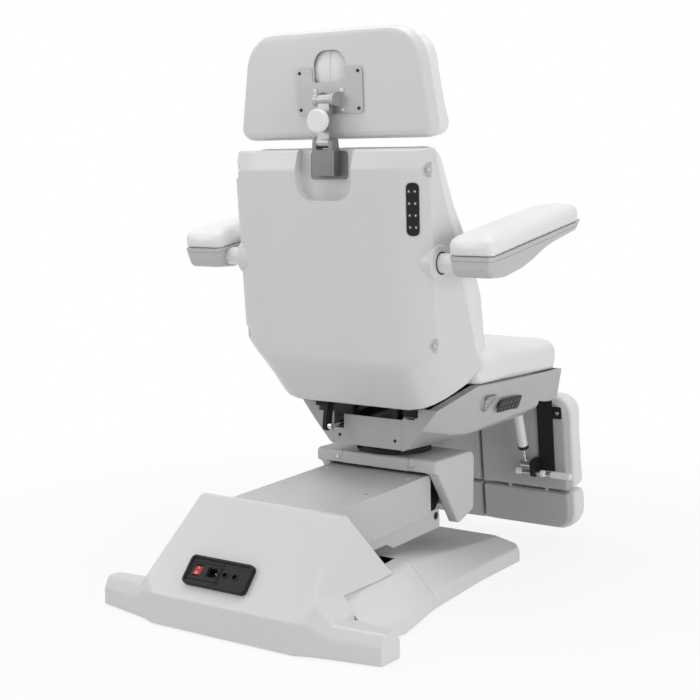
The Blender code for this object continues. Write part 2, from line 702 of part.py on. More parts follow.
def rear_profile(x, rear, knee, top, front, wall=0.0):
    """Side profile of the rear cover at one x, or of the space one wall inside it."""
    low = -COVER_LIFT if wall else COVER_LIFT
    corners = [(rear - wall, low, 0.002), (knee[0] - wall, knee[1], 0.020),
               (top[0] - wall, top[1] - wall, 0.014)]
    corners += [(top[2], top[1] - wall, 0.010), (front[0], front[1], 0.010), (front[0], low, 0.002)]
    return on_plane("X", x, fillet(corners))


def rear_rows(wall=0.0):
    """Side profiles of the rear cover: wing tip, wing root, tower foot and tower."""
    wing_front = COVER_TAIL_Y + WING_GAP + wall
    wing_rear = COVER_TAIL_Y + WING_GAP + WING_DEPTH
    bow = wing_rear + REAR_BULGE
    mouth = TOWER_MOUTH_Y - (0.1 if wall else 0.0)
    lip = TOWER_MOUTH_Y - 0.1 if wall else TOWER_LIP_Y
    wing_top = (wing_rear - 0.014, WING_HEIGHT, wing_front + 0.018)
    wing = (wing_rear, (wing_rear, WING_HEIGHT * 0.6), wing_top, (wing_front, WING_HEIGHT * 0.6))
    root_rear = wing_rear + REAR_BULGE * 0.5
    root_top = (root_rear - 0.020, WING_HEIGHT + 0.005, wing_front + 0.018)
    root = (root_rear, (root_rear, WING_HEIGHT * 0.65), root_top, (wing_front, WING_HEIGHT * 0.6))
    foot_rear = wing_rear + REAR_BULGE * 0.72
    foot_top = (TOWER_KNEE_Y - 0.030, COVER_REAR_TOP + TOWER_FLANGE, mouth + 0.020)
    foot = (foot_rear, (foot_rear, TOWER_KNEE_Z), foot_top, (mouth, COVER_REAR_TOP))
    tower_top = (TOWER_CREST_Y, TOWER_TOP, lip)
    tower = (bow, (TOWER_KNEE_Y, TOWER_KNEE_Z), tower_top, (mouth, COVER_REAR_TOP + TOWER_FLANGE))
    return wing, root, foot, tower


def on_tower(solid, x):
    """Solid drawn flat, set on the tower's sloping rear face, its height along the slope."""
    slope = Vector((0, TOWER_CREST_Y - TOWER_KNEE_Y, TOWER_TOP - TOWER_KNEE_Z))
    start = Vector((x, TOWER_KNEE_Y, TOWER_KNEE_Z))
    up = slope.normalized()
    out = Vector((0, up.z, -up.y))
    return placed(solid, start + slope * (INLET_Z - TOWER_KNEE_Z) / slope.z, up, out)


def rounded_plate(width, height, low, high, radius):
    """Flat plate with rounded corners about the middle."""
    u = width / 2
    v = height / 2
    return prism("Z", low, high, [(-u, -v, radius), (u, -v, radius), (u, v, radius), (-u, v, radius)])


def build_rear_cover():
    """White moulded cover: tower over the arm's root, sloping rear face, wings along the floor."""
    wing, root, foot, tower = rear_rows()
    half = [(0.0, tower), (TOWER_HALF, tower), (TOWER_FOOT_HALF, foot)]
    half += [(WING_ROOT_HALF, root), (WING_HALF, wing)]
    rings = [rear_profile(-x, *row) for x, row in reversed(half)]
    rings += [rear_profile(x, *row) for x, row in half[1:]]
    wing, root, foot, tower = rear_rows(COVER_WALL)
    inner = TOWER_HALF - COVER_WALL
    cuts = [skin([rear_profile(x, *tower, COVER_WALL) for x in (-inner, inner)])]
    for side in (-1, 1):
        ends = [(WING_ROOT_HALF - 0.5 * COVER_SHOULDER, root), (WING_HALF - COVER_WALL, wing)]
        cuts.append(skin([rear_profile(side * x, *row, COVER_WALL) for x, row in ends]))
    reach = COVER_TAIL_Y + WING_GAP / 2
    cuts.append(block((-1, 1), (-1, reach), (-1, COVER_REAR_TOP + SEAT_GAP)))
    cuts.append(on_tower(rounded_plate(INLET_WIDTH - 0.02, INLET_HEIGHT - 0.02, -0.05, 0.05, 0.008),
                         INLET_X))
    piece("rear_cover", WHITE_PLASTIC, base, [skin(rings)], cuts)


def build_inlet():
    """Black panel with the mains inlet, its rocker switch and two round handset sockets."""
    front = SEAT_GAP + INLET_DEPTH
    panel = on_tower(rounded_plate(INLET_WIDTH, INLET_HEIGHT, SEAT_GAP, front, 0.012), INLET_X)
    socket_x = INLET_X + SOCKET_OFFSET
    rocker_x = INLET_X + ROCKER_OFFSET
    cuts = [on_tower(rounded_plate(SOCKET_WIDTH, SOCKET_HEIGHT, -1, 1, 0.003), socket_x)]
    cuts.append(on_tower(rounded_plate(ROCKER_WIDTH, ROCKER_HEIGHT, -1, 1, 0.002), rocker_x))
    for step in (0, 1):
        jack = bar((0, 0, front - JACK_RADIUS), (0, 0, 1), JACK_RADIUS)
        cuts.append(on_tower(jack, INLET_X - JACK_OFFSET - step * JACK_PITCH))
    piece("inlet_panel", BLACK_PLASTIC, base, [panel], cuts)

    width = SOCKET_WIDTH - 2 * SEAT_GAP
    height = SOCKET_HEIGHT - 2 * SEAT_GAP
    body = on_tower(rounded_plate(width, height, -SOCKET_DEPTH, front - 5 * SEAT_GAP, 0.003), socket_x)
    floor = COVER_WALL - SOCKET_DEPTH
    well = on_tower(rounded_plate(width - COVER_WALL, height - COVER_WALL, floor, 1, 0.002), socket_x)
    piece("power_inlet", BLACK_PLASTIC, base, [body], [well])

    share = (INLET_Z - TOWER_KNEE_Z) / (TOWER_TOP - TOWER_KNEE_Z)
    rocker_y = TOWER_KNEE_Y + share * (TOWER_CREST_Y - TOWER_KNEE_Y)
    rocker = pivot("power_rocker", (rocker_x, rocker_y, INLET_Z), base)
    half = ROCKER_HEIGHT / 2 - ROCKER_SWING
    outline = [(-half, -0.004, 0.001), (half, -0.004, 0.001), (half, 0.0085, 0.001), (0, 0.0105, 0.001)]
    outline.append((-half, 0.0125, 0.001))
    wide = ROCKER_WIDTH / 2 - 2 * SEAT_GAP
    body = prism("X", -wide, wide, outline)
    piece("power_rocker", RED_PLASTIC, rocker, [on_tower(body, rocker_x)])


def build_lift_arm():
    """Two steel plates from pin to pin, tied at the top, with a cross pin for the lift actuator."""
    solids = []
    cuts = []
    tie_top = ARM_COVER_TOP - ARM_SHEET - SEAT_GAP
    tie = block((-ARM_PLATE_X - PLATE, ARM_PLATE_X + PLATE), (-ARM_TIE_END, -ARM_TIE_START),
                (0.010, tie_top))
    solids.append(turn(tie, ARM_SLOPE, (0, ROOT_Y, ROOT_Z)))
    for side in (-1, 1):
        x = mirrored(side, (ARM_PLATE_X, ARM_PLATE_X + PLATE))
        solids.append(prism("X", *x, capsule((ROOT_Y, ROOT_Z), (HEAD_PIN_Y, HEAD_PIN_Z), BOSS_RADIUS)))
        lug = [(LIFT_HEAD_Y - LUG_FOOT, LIFT_HEAD_Z + LIFT_HEAD_DROP, 0.004)]
        lug += [(LIFT_HEAD_Y - LUG_TOP, LIFT_HEAD_Z - LUG_TOP, 0.008)]
        lug += [(LIFT_HEAD_Y + LUG_TOP, LIFT_HEAD_Z - LUG_TOP, 0.008)]
        lug += [(LIFT_HEAD_Y + LUG_FOOT, LIFT_HEAD_Z + LIFT_HEAD_DROP, 0.004)]
        solids.append(prism("X", *x, lug))
    reach = ARM_PLATE_X + PLATE / 2
    solids.append(bar((-reach, LIFT_HEAD_Y, LIFT_HEAD_Z), (reach, LIFT_HEAD_Y, LIFT_HEAD_Z), LIFT_PIN))
    for y, z in ((ROOT_Y, ROOT_Z), (HEAD_PIN_Y, HEAD_PIN_Z)):
        cuts.append(bar((-1, y, z), (1, y, z), PIN_RADIUS + PIN_PLAY))
    piece("lift_arm", DARK_STEEL, arm, solids, cuts)


def build_arm_cover():
    """Folded sheet cover over the arm, open below and at both ends."""
    top = ARM_COVER_TOP
    low = top - ARM_COVER_DEPTH
    front = -(ARM_LENGTH - ARM_COVER_SHORT)
    corners = [(front, low, 0.004), (ARM_COVER_TAIL - 0.05, low, 0.004),
               (ARM_COVER_TAIL, low / 3, 0.010)]
    corners += [(ARM_COVER_TAIL, top, 0.003), (front, top, 0.003)]
    outer = prism("X", -ARM_HALF, ARM_HALF, corners)
    inner = ARM_HALF - ARM_SHEET
    space = block((-inner, inner), (-1, 1), (-1, top - ARM_SHEET))
    place = (0, ROOT_Y, ROOT_Z)
    piece("arm_cover", GREY_PAINT, arm, [turn(outer, ARM_SLOPE, place)],
          [turn(space, ARM_SLOPE, place)])


def build_lower_link():
    """Steel channel of the lower parallelogram side, nested in the arm's cover."""
    low = ROOT_Z - LINK_DROP
    front = -(ARM_LENGTH + BOSS_RADIUS * 0.8)
    shallow = -BOSS_RADIUS * 0.8
    rim = -LINK_CHANNEL_DEPTH - SEAT_GAP
    corners = [(front, rim, 0.006), (-LINK_FLOOR_START, rim, 0.006)]
    corners += [(-LINK_FLOOR_START + 0.03, shallow, 0.010), (BOSS_RADIUS * 0.8, shallow, 0.012)]
    corners += [(BOSS_RADIUS * 0.8, BOSS_RADIUS * 0.8, 0.012), (front, BOSS_RADIUS * 0.8, 0.012)]
    place = (0, ROOT_Y, low)
    middle = LINK_HALF - ARM_SHEET / 2
    floor_top = -LINK_CHANNEL_DEPTH + ARM_SHEET
    floor_y = (front + 0.008, -LINK_FLOOR_START - 0.008)
    solids = [turn(block((-middle, middle), floor_y, (-LINK_CHANNEL_DEPTH, floor_top)), ARM_SLOPE,
                   place)]
    for side in (-1, 1):
        x = mirrored(side, (LINK_HALF - ARM_SHEET, LINK_HALF))
        solids.append(turn(prism("X", *x, corners), ARM_SLOPE, place))
    cuts = []
    for y, z in ((ROOT_Y, low), (HEAD_PIN_Y, HEAD_PIN_Z - LINK_DROP)):
        cuts.append(bar((-1, y, z), (1, y, z), PIN_RADIUS + PIN_PLAY))
    piece("lower_link", GREY_PAINT, link, solids, cuts)


def build_actuator(name, x, foot, top, carrier, sizes, end_gap, rod_from=0.22):
    """Electric push rod: a motor body turning on its foot pin, and a rod that slides out of it."""
    radius, rod_radius, pin = sizes
    foot = Vector((x, *foot))
    top = Vector((x, *top))
    run = top - foot
    side = Vector((radius, 0, 0))
    swing = pivot(name, foot, carrier)
    slide = pivot(name + "_rod", top, swing)
    profile = [(0.0, radius * 0.8), (0.06, radius), (0.66, radius), (0.68, radius * 0.8),
               (0.72, radius * 0.8)]
    barrel = turned(foot, top, profile)
    eye = bar(foot - side, foot + side, radius * 0.75)
    cuts = [bar(foot - 2 * side, foot + 2 * side, pin + PIN_PLAY)]
    cuts.append(bar(foot + run * 0.20, top, rod_radius + PIN_PLAY))
    piece(name + "_body", DARK_STEEL, swing, [barrel, eye], cuts)
    end = top - run.normalized() * end_gap
    solids = [bar(foot + run * rod_from, end, rod_radius)]
    if end_gap:
        solids.append(bar(end - run.normalized() * 0.016, end, rod_radius * 1.4))
    else:
        solids.append(bar(top - Vector((DRIVE_EYE, 0, 0)), top + Vector((DRIVE_EYE, 0, 0)),
                          2 * DRIVE_PIN))
    piece(name + "_rod", BRIGHT_STEEL, slide, solids)


def build_lift_actuator():
    """Lift actuator between the floor plate and the arm; its cup is open under the arm's cross pin."""
    sizes = (LIFT_BODY_RADIUS, LIFT_ROD_RADIUS, LIFT_PIN)
    foot = (LIFT_FOOT_Y, LIFT_FOOT_Z)
    build_actuator("lift_actuator", 0, foot, (LIFT_HEAD_Y, LIFT_HEAD_Z), base, sizes,
                   LIFT_PIN + CUP_GAP)


def head_profile():
    """Side outline of the head housing: flat top, upright front, cheek that narrows to a low tip."""
    tip_z = HEAD_PIN_Z - HEAD_CHEEK
    corners = [(HEAD_REAR_Y, HEAD_TOP, 0.010), (HEAD_FRONT_Y, HEAD_TOP, 0.022)]
    corners += [(HEAD_FRONT_Y, HEAD_PIN_Z - LINK_DROP, 0.012), (HEAD_TIP_Y, tip_z, 0.012)]
    corners += [(HEAD_REAR_Y - 0.018, HEAD_TOP - HEAD_LIP - 0.006, 0.008),
                (HEAD_REAR_Y, HEAD_TOP - HEAD_LIP, 0.004)]
    return corners


def head_space():
    """Room inside the head housing, open to the rear and below, behind a lip at the top."""
    inner = ARM_HALF + 2 * RUN_GAP
    top = HEAD_TOP - HEAD_WALL
    lip_y = HEAD_REAR_Y - HEAD_WALL
    front = HEAD_FRONT_Y + HEAD_WALL
    corners = [(lip_y, top, 0.001), (front, top, 0.018), (front, 0.0, 0.001), (1.0, 0.0, 0.001)]
    corners += [(1.0, HEAD_TOP - HEAD_LIP, 0.001), (lip_y, HEAD_TOP - HEAD_LIP, 0.001)]
    return prism("X", -inner, inner, corners)


def build_head():
    """Steel head frame on the parallelogram's front pins, and its housing of two cheeks and a top."""
    plate_top = HEAD_TOP - HEAD_WALL - SEAT_GAP
    plate_low = plate_top - HEAD_PLATE
    low = HEAD_PIN_Z - LINK_DROP
    boss = BOSS_RADIUS * 0.8
    solids = [block((-FRAME_PLATE_X - PLATE, FRAME_PLATE_X + PLATE),
                    (-HEAD_PLATE_HALF, HEAD_PLATE_HALF),
                    (plate_low, plate_top))]
    outline = [(HEAD_PIN_Y + boss, low - boss, boss * 0.9),
               (HEAD_PIN_Y + boss, HEAD_PIN_Z + boss, 0.006)]
    outline += [(HEAD_PLATE_HALF, plate_low + HEAD_PLATE / 2, 0.001),
                (-HEAD_PLATE_HALF, plate_low + HEAD_PLATE / 2, 0.001)]
    outline += [(-HEAD_PLATE_HALF, HEAD_PIN_Z, 0.020), (HEAD_PIN_Y - boss, low - boss, boss * 0.9)]
    for side in (-1, 1):
        solids.append(prism("X", *mirrored(side, (FRAME_PLATE_X, FRAME_PLATE_X + PLATE)), outline))
    reach = FRAME_PLATE_X + PLATE / 2
    solids.append(bar((-reach, HEAD_PIN_Y, HEAD_PIN_Z), (reach, HEAD_PIN_Y, HEAD_PIN_Z), PIN_RADIUS))
    solids.append(bar((-LINK_HALF, HEAD_PIN_Y, low), (LINK_HALF, HEAD_PIN_Y, low), PIN_RADIUS))
    solids.append(bar((0, 0, SPINDLE_FOOT_Z), (0, 0, plate_top - HEAD_PLATE / 2),
                      SPINDLE_RADIUS + 0.012))
    bore = bar((0, 0, 0), (0, 0, 1), SPINDLE_RADIUS + PIN_PLAY)
    piece("head_frame", DARK_STEEL, head, solids, [bore])

    sides = {"head_cheek_right": (-HEAD_HALF, -HEAD_SEAM_X - SEAT_GAP / 2)}
    sides["head_cheek_left"] = (HEAD_SEAM_X + SEAT_GAP / 2, HEAD_HALF)
    sides["head_top_cover"] = (-HEAD_SEAM_X + SEAT_GAP / 2, HEAD_SEAM_X - SEAT_GAP / 2)
    for name, (start, end) in sides.items():
        cuts = [head_space(), bar((0, 0, 0), (0, 0, 1), SPINDLE_RADIUS + RUN_GAP)]
        piece(name, MID_GREY, head, [prism("X", start, end, head_profile())], cuts)


def build_swivel():
    """Black turntable with a spindle in the head frame and two lugs for the seat's tilt pin."""
    low = HEAD_TOP + SEAT_GAP
    spindle = bar((0, 0, SPINDLE_FOOT_Z), (0, 0, low + DISC_HEIGHT / 2), SPINDLE_RADIUS)
    solids = [bar((0, 0, low), (0, 0, DISC_TOP), DISC_RADIUS, 28), spindle]
    sunk = DISC_TOP - DISC_HEIGHT / 2
    for side in (-1, 1):
        outline = [(TILT_Y - 2 * TILT_BOSS, sunk, 0.001), (TILT_Y, sunk, 0.001)]
        outline += [(TILT_Y + TILT_BOSS, TILT_Z - TILT_BOSS, 0.008),
                    (TILT_Y + TILT_BOSS, TILT_Z + TILT_BOSS, 0.010)]
        outline += [(TILT_Y - TILT_BOSS, TILT_Z + TILT_BOSS, 0.010)]
        solids.append(prism("X", *mirrored(side, (TILT_LUG_X, TILT_LUG_X + PLATE)), outline))
    for offset in (-1, 1):
        near = offset * (DRIVE_RADIUS + RUN_GAP)
        x = sorted((TILT_DRIVE_X + near, TILT_DRIVE_X + near + offset * PLATE))
        outline = [(TILT_FOOT_Y - 0.02, sunk, 0.001), (TILT_FOOT_Y + 0.02, sunk, 0.001)]
        outline += [(TILT_FOOT_Y + TILT_BOSS, TILT_FOOT_Z + TILT_BOSS, 0.010)]
        outline += [(TILT_FOOT_Y - TILT_BOSS, TILT_FOOT_Z + TILT_BOSS, 0.010)]
        solids.append(prism("X", *x, outline))
    reach = DRIVE_RADIUS + RUN_GAP + PLATE / 2
    ends = [(TILT_DRIVE_X + offset * reach, TILT_FOOT_Y, TILT_FOOT_Z) for offset in (-1, 1)]
    solids.append(bar(*ends, DRIVE_PIN))
    bore = bar((-1, TILT_Y, TILT_Z), (1, TILT_Y, TILT_Z), TILT_PIN + PIN_PLAY)
    piece("swivel_plate", BLACK_PLASTIC, swivel, solids, [bore])


def inset(corners, amount):
    """Corners of an outline moved inwards by one amount, with their roundings reduced to suit."""
    moved = []
    for i, (u, v, radius) in enumerate(corners):
        corner = Vector((u, v))
        before = (Vector(corners[i - 1][:2]) - corner).normalized()
        after = (Vector(corners[(i + 1) % len(corners)][:2]) - corner).normalized()
        corner += (before + after).normalized() * (amount / math.sin(before.angle(after) / 2))
        moved.append((corner.x, corner.y, max(radius - 0.8 * amount, 0.002)))
    return moved


def divided(outline, arc, parts):
    """Outline of rounded corners, so many points to each, with its straight runs cut into equal parts."""
    points = []
    for i, point in enumerate(outline):
        points.append(point)
        if i % arc == arc - 1:
            after = outline[(i + 1) % len(outline)]
            points += [point.lerp(after, k / parts) for k in range(1, parts)]
    return points


def cushion(corners, depth, crown, tuck, edge, swell=None):
    """Upholstered pad over an outline: drawn-in foot, full sides, rounded edge and a crowned face."""
    layers = [(0.0, tuck), (0.35 * depth, 0.0), (depth - edge, 0.001),
              (depth - 0.45 * edge, 0.2 * edge)]
    layers += [(depth - 0.1 * edge, 0.6 * edge), (depth, 1.2 * edge)]
    rings = [(w, divided(fillet(inset(corners, amount), 4), 5, 4)) for w, amount in layers]
    last = rings[-1][1]
    centre = sum(last, Vector((0, 0))) / len(last)
    reach_u = max(abs(p.x - centre.x) for p in last)
    reach_v = max(abs(p.y - centre.y) for p in last)
    rings = [[Vector((p.x, p.y, w)) for p in ring] for w, ring in rings]
    for share in (0.80, 0.56, 0.30, 0.05):
        ring = []
        for p in last:
            u = share * (p.x - centre.x)
            v = share * (p.y - centre.y)
            rise = crown * (1 - (u / reach_u) ** 2) * (1 - (v / reach_v) ** 2)
            ring.append(Vector((centre.x + u, centre.y + v, depth + rise)))
        rings.append(ring)
    if swell is None:
        return skin(rings)
    return skin([[Vector((p.x, p.y, p.z * swell(p.y))) for p in ring] for ring in rings])


# Places that the seat's pieces share
DRIVE_Z = RIM - DRIVE_DROP
LEVER_PIN_Y = BACK_AXIS_Y + LEVER_AFT
LEVER_PIN_Z = BACK_AXIS_Z - LEVER_DROP
BACK_DRIVE_X = LEVER_X - DRIVE_EYE - RUN_GAP


def tub_ring(y, half, rim, knee, keel, wall=0.0):
    """Cross-section of the seat tub: flared sides, a knee and a narrow keel."""
    top = rim + (0.05 if wall else 0.0)
    right = [(keel[0] - wall / 2, keel[1] + wall, 0.020), (knee[0] - wall, knee[1] + wall / 2, 0.030)]
    right.append((half - wall, top, 0.001))
    left = [(-u, v, r) for u, v, r in reversed(right)]
    return on_plane("Y", y, fillet(right + left))


def tub_rings(wall=0.0):
    """Cross-sections of the tub from its rear end to its front."""
    keel = RIM - TUB_DEPTH
    front_keel = RIM - TUB_FRONT_DEPTH
    end = SEAT_HALF - TUB_REAR_TUCK
    side = SEAT_HALF - TUB_SIDE_FLARE
    rear = (SEAT_REAR - wall, end, RIM - TUB_REAR_DROP,
            (end - TUB_REAR_FLARE, keel + 2 * TUB_WAIST_RISE),
            (TUB_KEEL_HALF - 0.005, keel))
    hip = (TUB_WAIST_Y / -2, SEAT_HALF - 0.015, RIM, (side - 0.005, keel + 1.3 * TUB_WAIST_RISE),
           (TUB_KEEL_HALF, keel))
    waist = (TUB_WAIST_Y, SEAT_HALF - 0.005, RIM, (side, keel + TUB_WAIST_RISE),
             (TUB_KEEL_HALF + 0.005, keel))
    thigh = (TUB_THIGH_Y, SEAT_HALF - 0.002, RIM, (TUB_FRONT_HALF, front_keel),
             (side - 0.005, front_keel - TUB_WAIST_RISE))
    front = (SEAT_FRONT + wall, SEAT_HALF - 0.002, RIM, (TUB_FRONT_HALF + 0.020, front_keel + 0.026),
             (TUB_FRONT_HALF, front_keel))
    return [tub_ring(*row, wall) for row in (rear, hip, waist, thigh, front)]


def build_seat_frame():
    """Steel seat frame: two rails, cross bars, tilt lugs, recline bosses, actuator and knee lugs."""
    low = RAIL_Z - RAIL_HEIGHT / 2
    high = RAIL_Z + RAIL_HEIGHT / 2
    solids = []
    knee_bar = (-KNEE_LUG_OUT, KNEE_LUG_OUT)
    solids.append(block(knee_bar, (FRAME_TIP_Y, FRAME_TIP_Y + RAIL_WIDTH), (low + 0.002, high - 0.002)))
    reach = RAIL_X + RAIL_WIDTH / 4
    for y in (TILT_Y, DRIVE_Y):
        solids.append(block((-reach, reach), (y - 0.014, y + 0.014), (low + 0.002, high - 0.001)))
    for side in (-1, 1):
        x = mirrored(side, (RAIL_X - RAIL_WIDTH / 2, RAIL_X + RAIL_WIDTH / 2))
        solids.append(block(x, (FRAME_TIP_Y - 0.001, BACK_AXIS_Y - 0.010), (low, high)))
        solids.append(bar((x[0], BACK_AXIS_Y, BACK_AXIS_Z), (x[1], BACK_AXIS_Y, BACK_AXIS_Z),
                          HINGE_BOSS))
        inner = TILT_LUG_X + PLATE + RUN_GAP
        outline = [(TILT_Y - TILT_BOSS, high - 0.006, 0.001),
                   (TILT_Y - TILT_BOSS, TILT_Z - TILT_BOSS, 0.010)]
        outline += [(TILT_Y + TILT_BOSS, TILT_Z - TILT_BOSS, 0.010),
                    (TILT_Y + TILT_BOSS, high - 0.006, 0.001)]
        solids.append(prism("X", *mirrored(side, (inner, inner + PLATE)), outline))
        outline = [(FRAME_TIP_Y + 0.020, high - 0.004, 0.002),
                   (KNEE_Y - KNEE_KNUCKLE, KNEE_Z + KNEE_KNUCKLE, 0.012)]
        outline += [(KNEE_Y - KNEE_KNUCKLE, KNEE_Z - KNEE_KNUCKLE, 0.012),
                    (KNEE_Y + KNEE_KNUCKLE, KNEE_Z - KNEE_KNUCKLE, 0.012)]
        outline += [(FRAME_TIP_Y + 0.020, low + 0.004, 0.002)]
        for near in (KNEE_LUG_IN, KNEE_LUG_OUT - PLATE):
            solids.append(prism("X", *mirrored(side, (near, near + PLATE)), outline))
        outline = [(FRAME_TIP_Y + 0.010, high - 0.005, 0.002),
                   (FRAME_TIP_Y + 0.010, low + 0.005, 0.002)]
        outline += [(STRUT_A_Y + STRUT_EYE, STRUT_A_Z - STRUT_EYE, 0.008),
                    (STRUT_A_Y + STRUT_EYE, high - 0.005, 0.008)]
        near = STRUT_X + STRUT_RADIUS + RUN_GAP
        solids.append(prism("X", *mirrored(side, (near, near + PLATE)), outline))
        for y in (FRAME_TIP_Y + RAIL_WIDTH, TILT_Y - 2 * RAIL_WIDTH):
            post_x = (x[0] + 0.004, x[1] - 0.004)
            solids.append(block(post_x, (y - 0.030, y - 0.006), (high - 0.004, RIM)))
    reach = TILT_LUG_X + PLATE * 1.5 + RUN_GAP
    solids.append(bar((-reach, TILT_Y, TILT_Z), (reach, TILT_Y, TILT_Z), TILT_PIN))
    outline = [(DRIVE_Y - TILT_BOSS, low + 0.008, 0.001),
               (DRIVE_Y - TILT_BOSS, DRIVE_Z - TILT_BOSS, 0.010)]
    outline += [(DRIVE_Y + TILT_BOSS, DRIVE_Z - TILT_BOSS, 0.010),
                (DRIVE_Y + TILT_BOSS, low + 0.008, 0.001)]
    for plane in (TILT_DRIVE_X, BACK_DRIVE_X):
        near = DRIVE_RADIUS + RUN_GAP
        for offset in (-1, 1):
            x = sorted((plane + offset * near, plane + offset * (near + PLATE)))
            solids.append(prism("X", *x, outline))
        pin = near + PLATE / 2
        solids.append(bar((plane - pin, DRIVE_Y, DRIVE_Z), (plane + pin, DRIVE_Y, DRIVE_Z), DRIVE_PIN))
    cuts = [bar((-1, BACK_AXIS_Y, BACK_AXIS_Z), (1, BACK_AXIS_Y, BACK_AXIS_Z),
                TORQUE_RADIUS + PIN_PLAY)]
    cuts.append(bar((-1, KNEE_Y, KNEE_Z), (1, KNEE_Y, KNEE_Z), KNEE_PIN + PIN_PLAY))
    piece("seat_frame", DARK_STEEL, seat, solids, cuts)


def build_seat_shell():
    """Moulded tub under the seat, open above, with openings for the swivel, the back and the legs."""
    cuts = [skin(tub_rings(TUB_WALL))]
    cuts.append(block((-TUB_HOLE_HALF, TUB_HOLE_HALF), (-TUB_HOLE_FRONT, TUB_HOLE_REAR),
                      (0, RIM - TUB_DEPTH + 0.030)))
    slot_low = RIM - TUB_DEPTH + PANEL_RISE + 2 * SEAT_GAP
    cuts.append(block((-BACK_SLOT_HALF, BACK_SLOT_HALF), (SEAT_REAR - 0.03, 1), (slot_low, 1)))
    panel = PANEL_HALF + SEAT_GAP
    cuts.append(block((-panel, panel), (SEAT_REAR - 0.012, 1), (0, slot_low + 0.001)))
    for side in (-1, 1):
        x = mirrored(side, (KNEE_LUG_IN - KNEE_NOTCH, KNEE_LUG_OUT + KNEE_NOTCH / 6))
        cuts.append(block(x, (-1, STRUT_A_Y + KNEE_NOTCH), (0, RAIL_Z + RAIL_HEIGHT / 2)))
    piece("seat_shell", WHITE_PLASTIC, seat, [skin(tub_rings())], cuts + tub_flats())

    low = RIM - TUB_DEPTH + 0.002
    y = (SEAT_REAR - PANEL_SHEET, SEAT_REAR)
    corners = [(-PANEL_HALF, low, 0.004), (PANEL_HALF, low, 0.004),
               (PANEL_HALF, low + PANEL_RISE - 0.004, 0.004)]
    corners.append((-PANEL_HALF, low + PANEL_RISE - 0.004, 0.004))
    notch = block((LEVER_X - 0.020, LEVER_X + 0.030), (0, 1), (low + PANEL_RISE / 2, 1))
    piece("rear_panel", WHITE_PLASTIC, seat, [prism("Y", *y, corners)], [notch])


def seat_fall(y):
    """Height of the seat cushion's face, which falls away under the back cushion."""
    share = min(max((y - SEAT_CUSHION_REAR + SEAT_FALL_RUN) / SEAT_FALL_RUN, 0.0), 1.0)
    return 1.0 - SEAT_FALL * share * share * (3 - 2 * share)


def build_seat_cushion():
    """Seat cushion on the tub's rim."""
    half = SEAT_HALF - 0.001
    corners = [(-half, SEAT_FRONT - 0.010, 0.050), (half, SEAT_FRONT - 0.010, 0.050)]
    corners += [(half - 0.010, SEAT_CUSHION_REAR, 0.030), (-half + 0.010, SEAT_CUSHION_REAR, 0.030)]
    solid = cushion(corners, SEAT_CUSHION_HEIGHT, SEAT_CROWN, 0.012, 0.030, seat_fall)
    solid.transform(Matrix.Translation((0, 0, RIM + SEAT_GAP)))
    piece("seat_cushion", WHITE_LEATHER, seat, [solid])


def back_row(share, wall=0.0):
    """Side profile of the back shell at a share of its bend from the flat middle to the edge."""
    fall = share * share
    ahead = BACK_CUSHION_TOP if wall else 0.0
    edge_y = SHELL_EDGE_Y - SHELL_EDGE_TUCK * fall
    edge_z = SHELL_EDGE_Z + SHELL_EDGE_LIFT * fall
    foot_z = SEAM_FOOT_Z + ahead * (SEAM_FOOT_Z - edge_z) / (edge_y - SEAM_FOOT_Y) + 1.4 * wall
    low_y = SHELL_LOW_Y - SHELL_SIDE_TUCK * fall - wall
    top = SHELL_SPACE_TOP if wall else SEAM_TOP_Z
    high_y = low_y + (top - SHELL_BROW - SHELL_LOW_Z) * SHELL_LEAN
    seam_y = SEAM_FOOT_Y + (top - SEAM_FOOT_Z) * SEAM_RUN
    corners = [(SEAM_FOOT_Y - ahead, foot_z, 0.004), (edge_y - wall / 2, edge_z + 1.4 * wall, 0.012)]
    corners += [(low_y, SHELL_LOW_Z + SHELL_LOW_LIFT * fall, 0.060), (high_y, top - SHELL_BROW, 0.030)]
    corners += [(high_y - SHELL_BROW_TUCK, top, 0.014), (seam_y - ahead, top, 0.004)]
    return fillet([(BACK_AXIS_Y + y, BACK_AXIS_Z + z, r) for y, z, r in corners])


def back_rings(wall=0.0):
    """Profiles of the back shell from side to side."""
    bend = BACK_HALF - SHELL_FLAT_HALF
    rows = [(SHELL_FLAT_HALF + bend * share - wall * share, share) for share in BACK_SHARES]
    rings = [on_plane("X", -x, back_row(share, wall)) for x, share in reversed(rows)]
    return rings + [on_plane("X", x, back_row(share, wall)) for x, share in rows]


def on_back(solid, z):
    """Solid drawn with its depth along X, set on the shell's bent right side at one height."""
    inner, outer = BACK_SHARES[2], BACK_SHARES[4]
    tucks = [SHELL_SIDE_TUCK * share ** 2 for share in (inner, outer)]
    bend = BACK_HALF - SHELL_FLAT_HALF
    across = Vector((bend * (outer - inner), tucks[0] - tucks[1], 0)).normalized()
    up = Vector((0, SHELL_LEAN, 1)).normalized()
    out = across.cross(up).normalized() * -1
    y = SHELL_LOW_Y + (z - SHELL_LOW_Z) * SHELL_LEAN - (tucks[0] + tucks[1]) / 2 - 0.001
    place = Vector((SHELL_FLAT_HALF + bend * (inner + outer) / 2, BACK_AXIS_Y + y, BACK_AXIS_Z + z))
    frame = Matrix((out, across, out.cross(across))).transposed().to_4x4()
    solid.transform(Matrix.Diagonal((-1, 1, 1, 1)) @ Matrix.Translation(place) @ frame)
    return outward(solid)


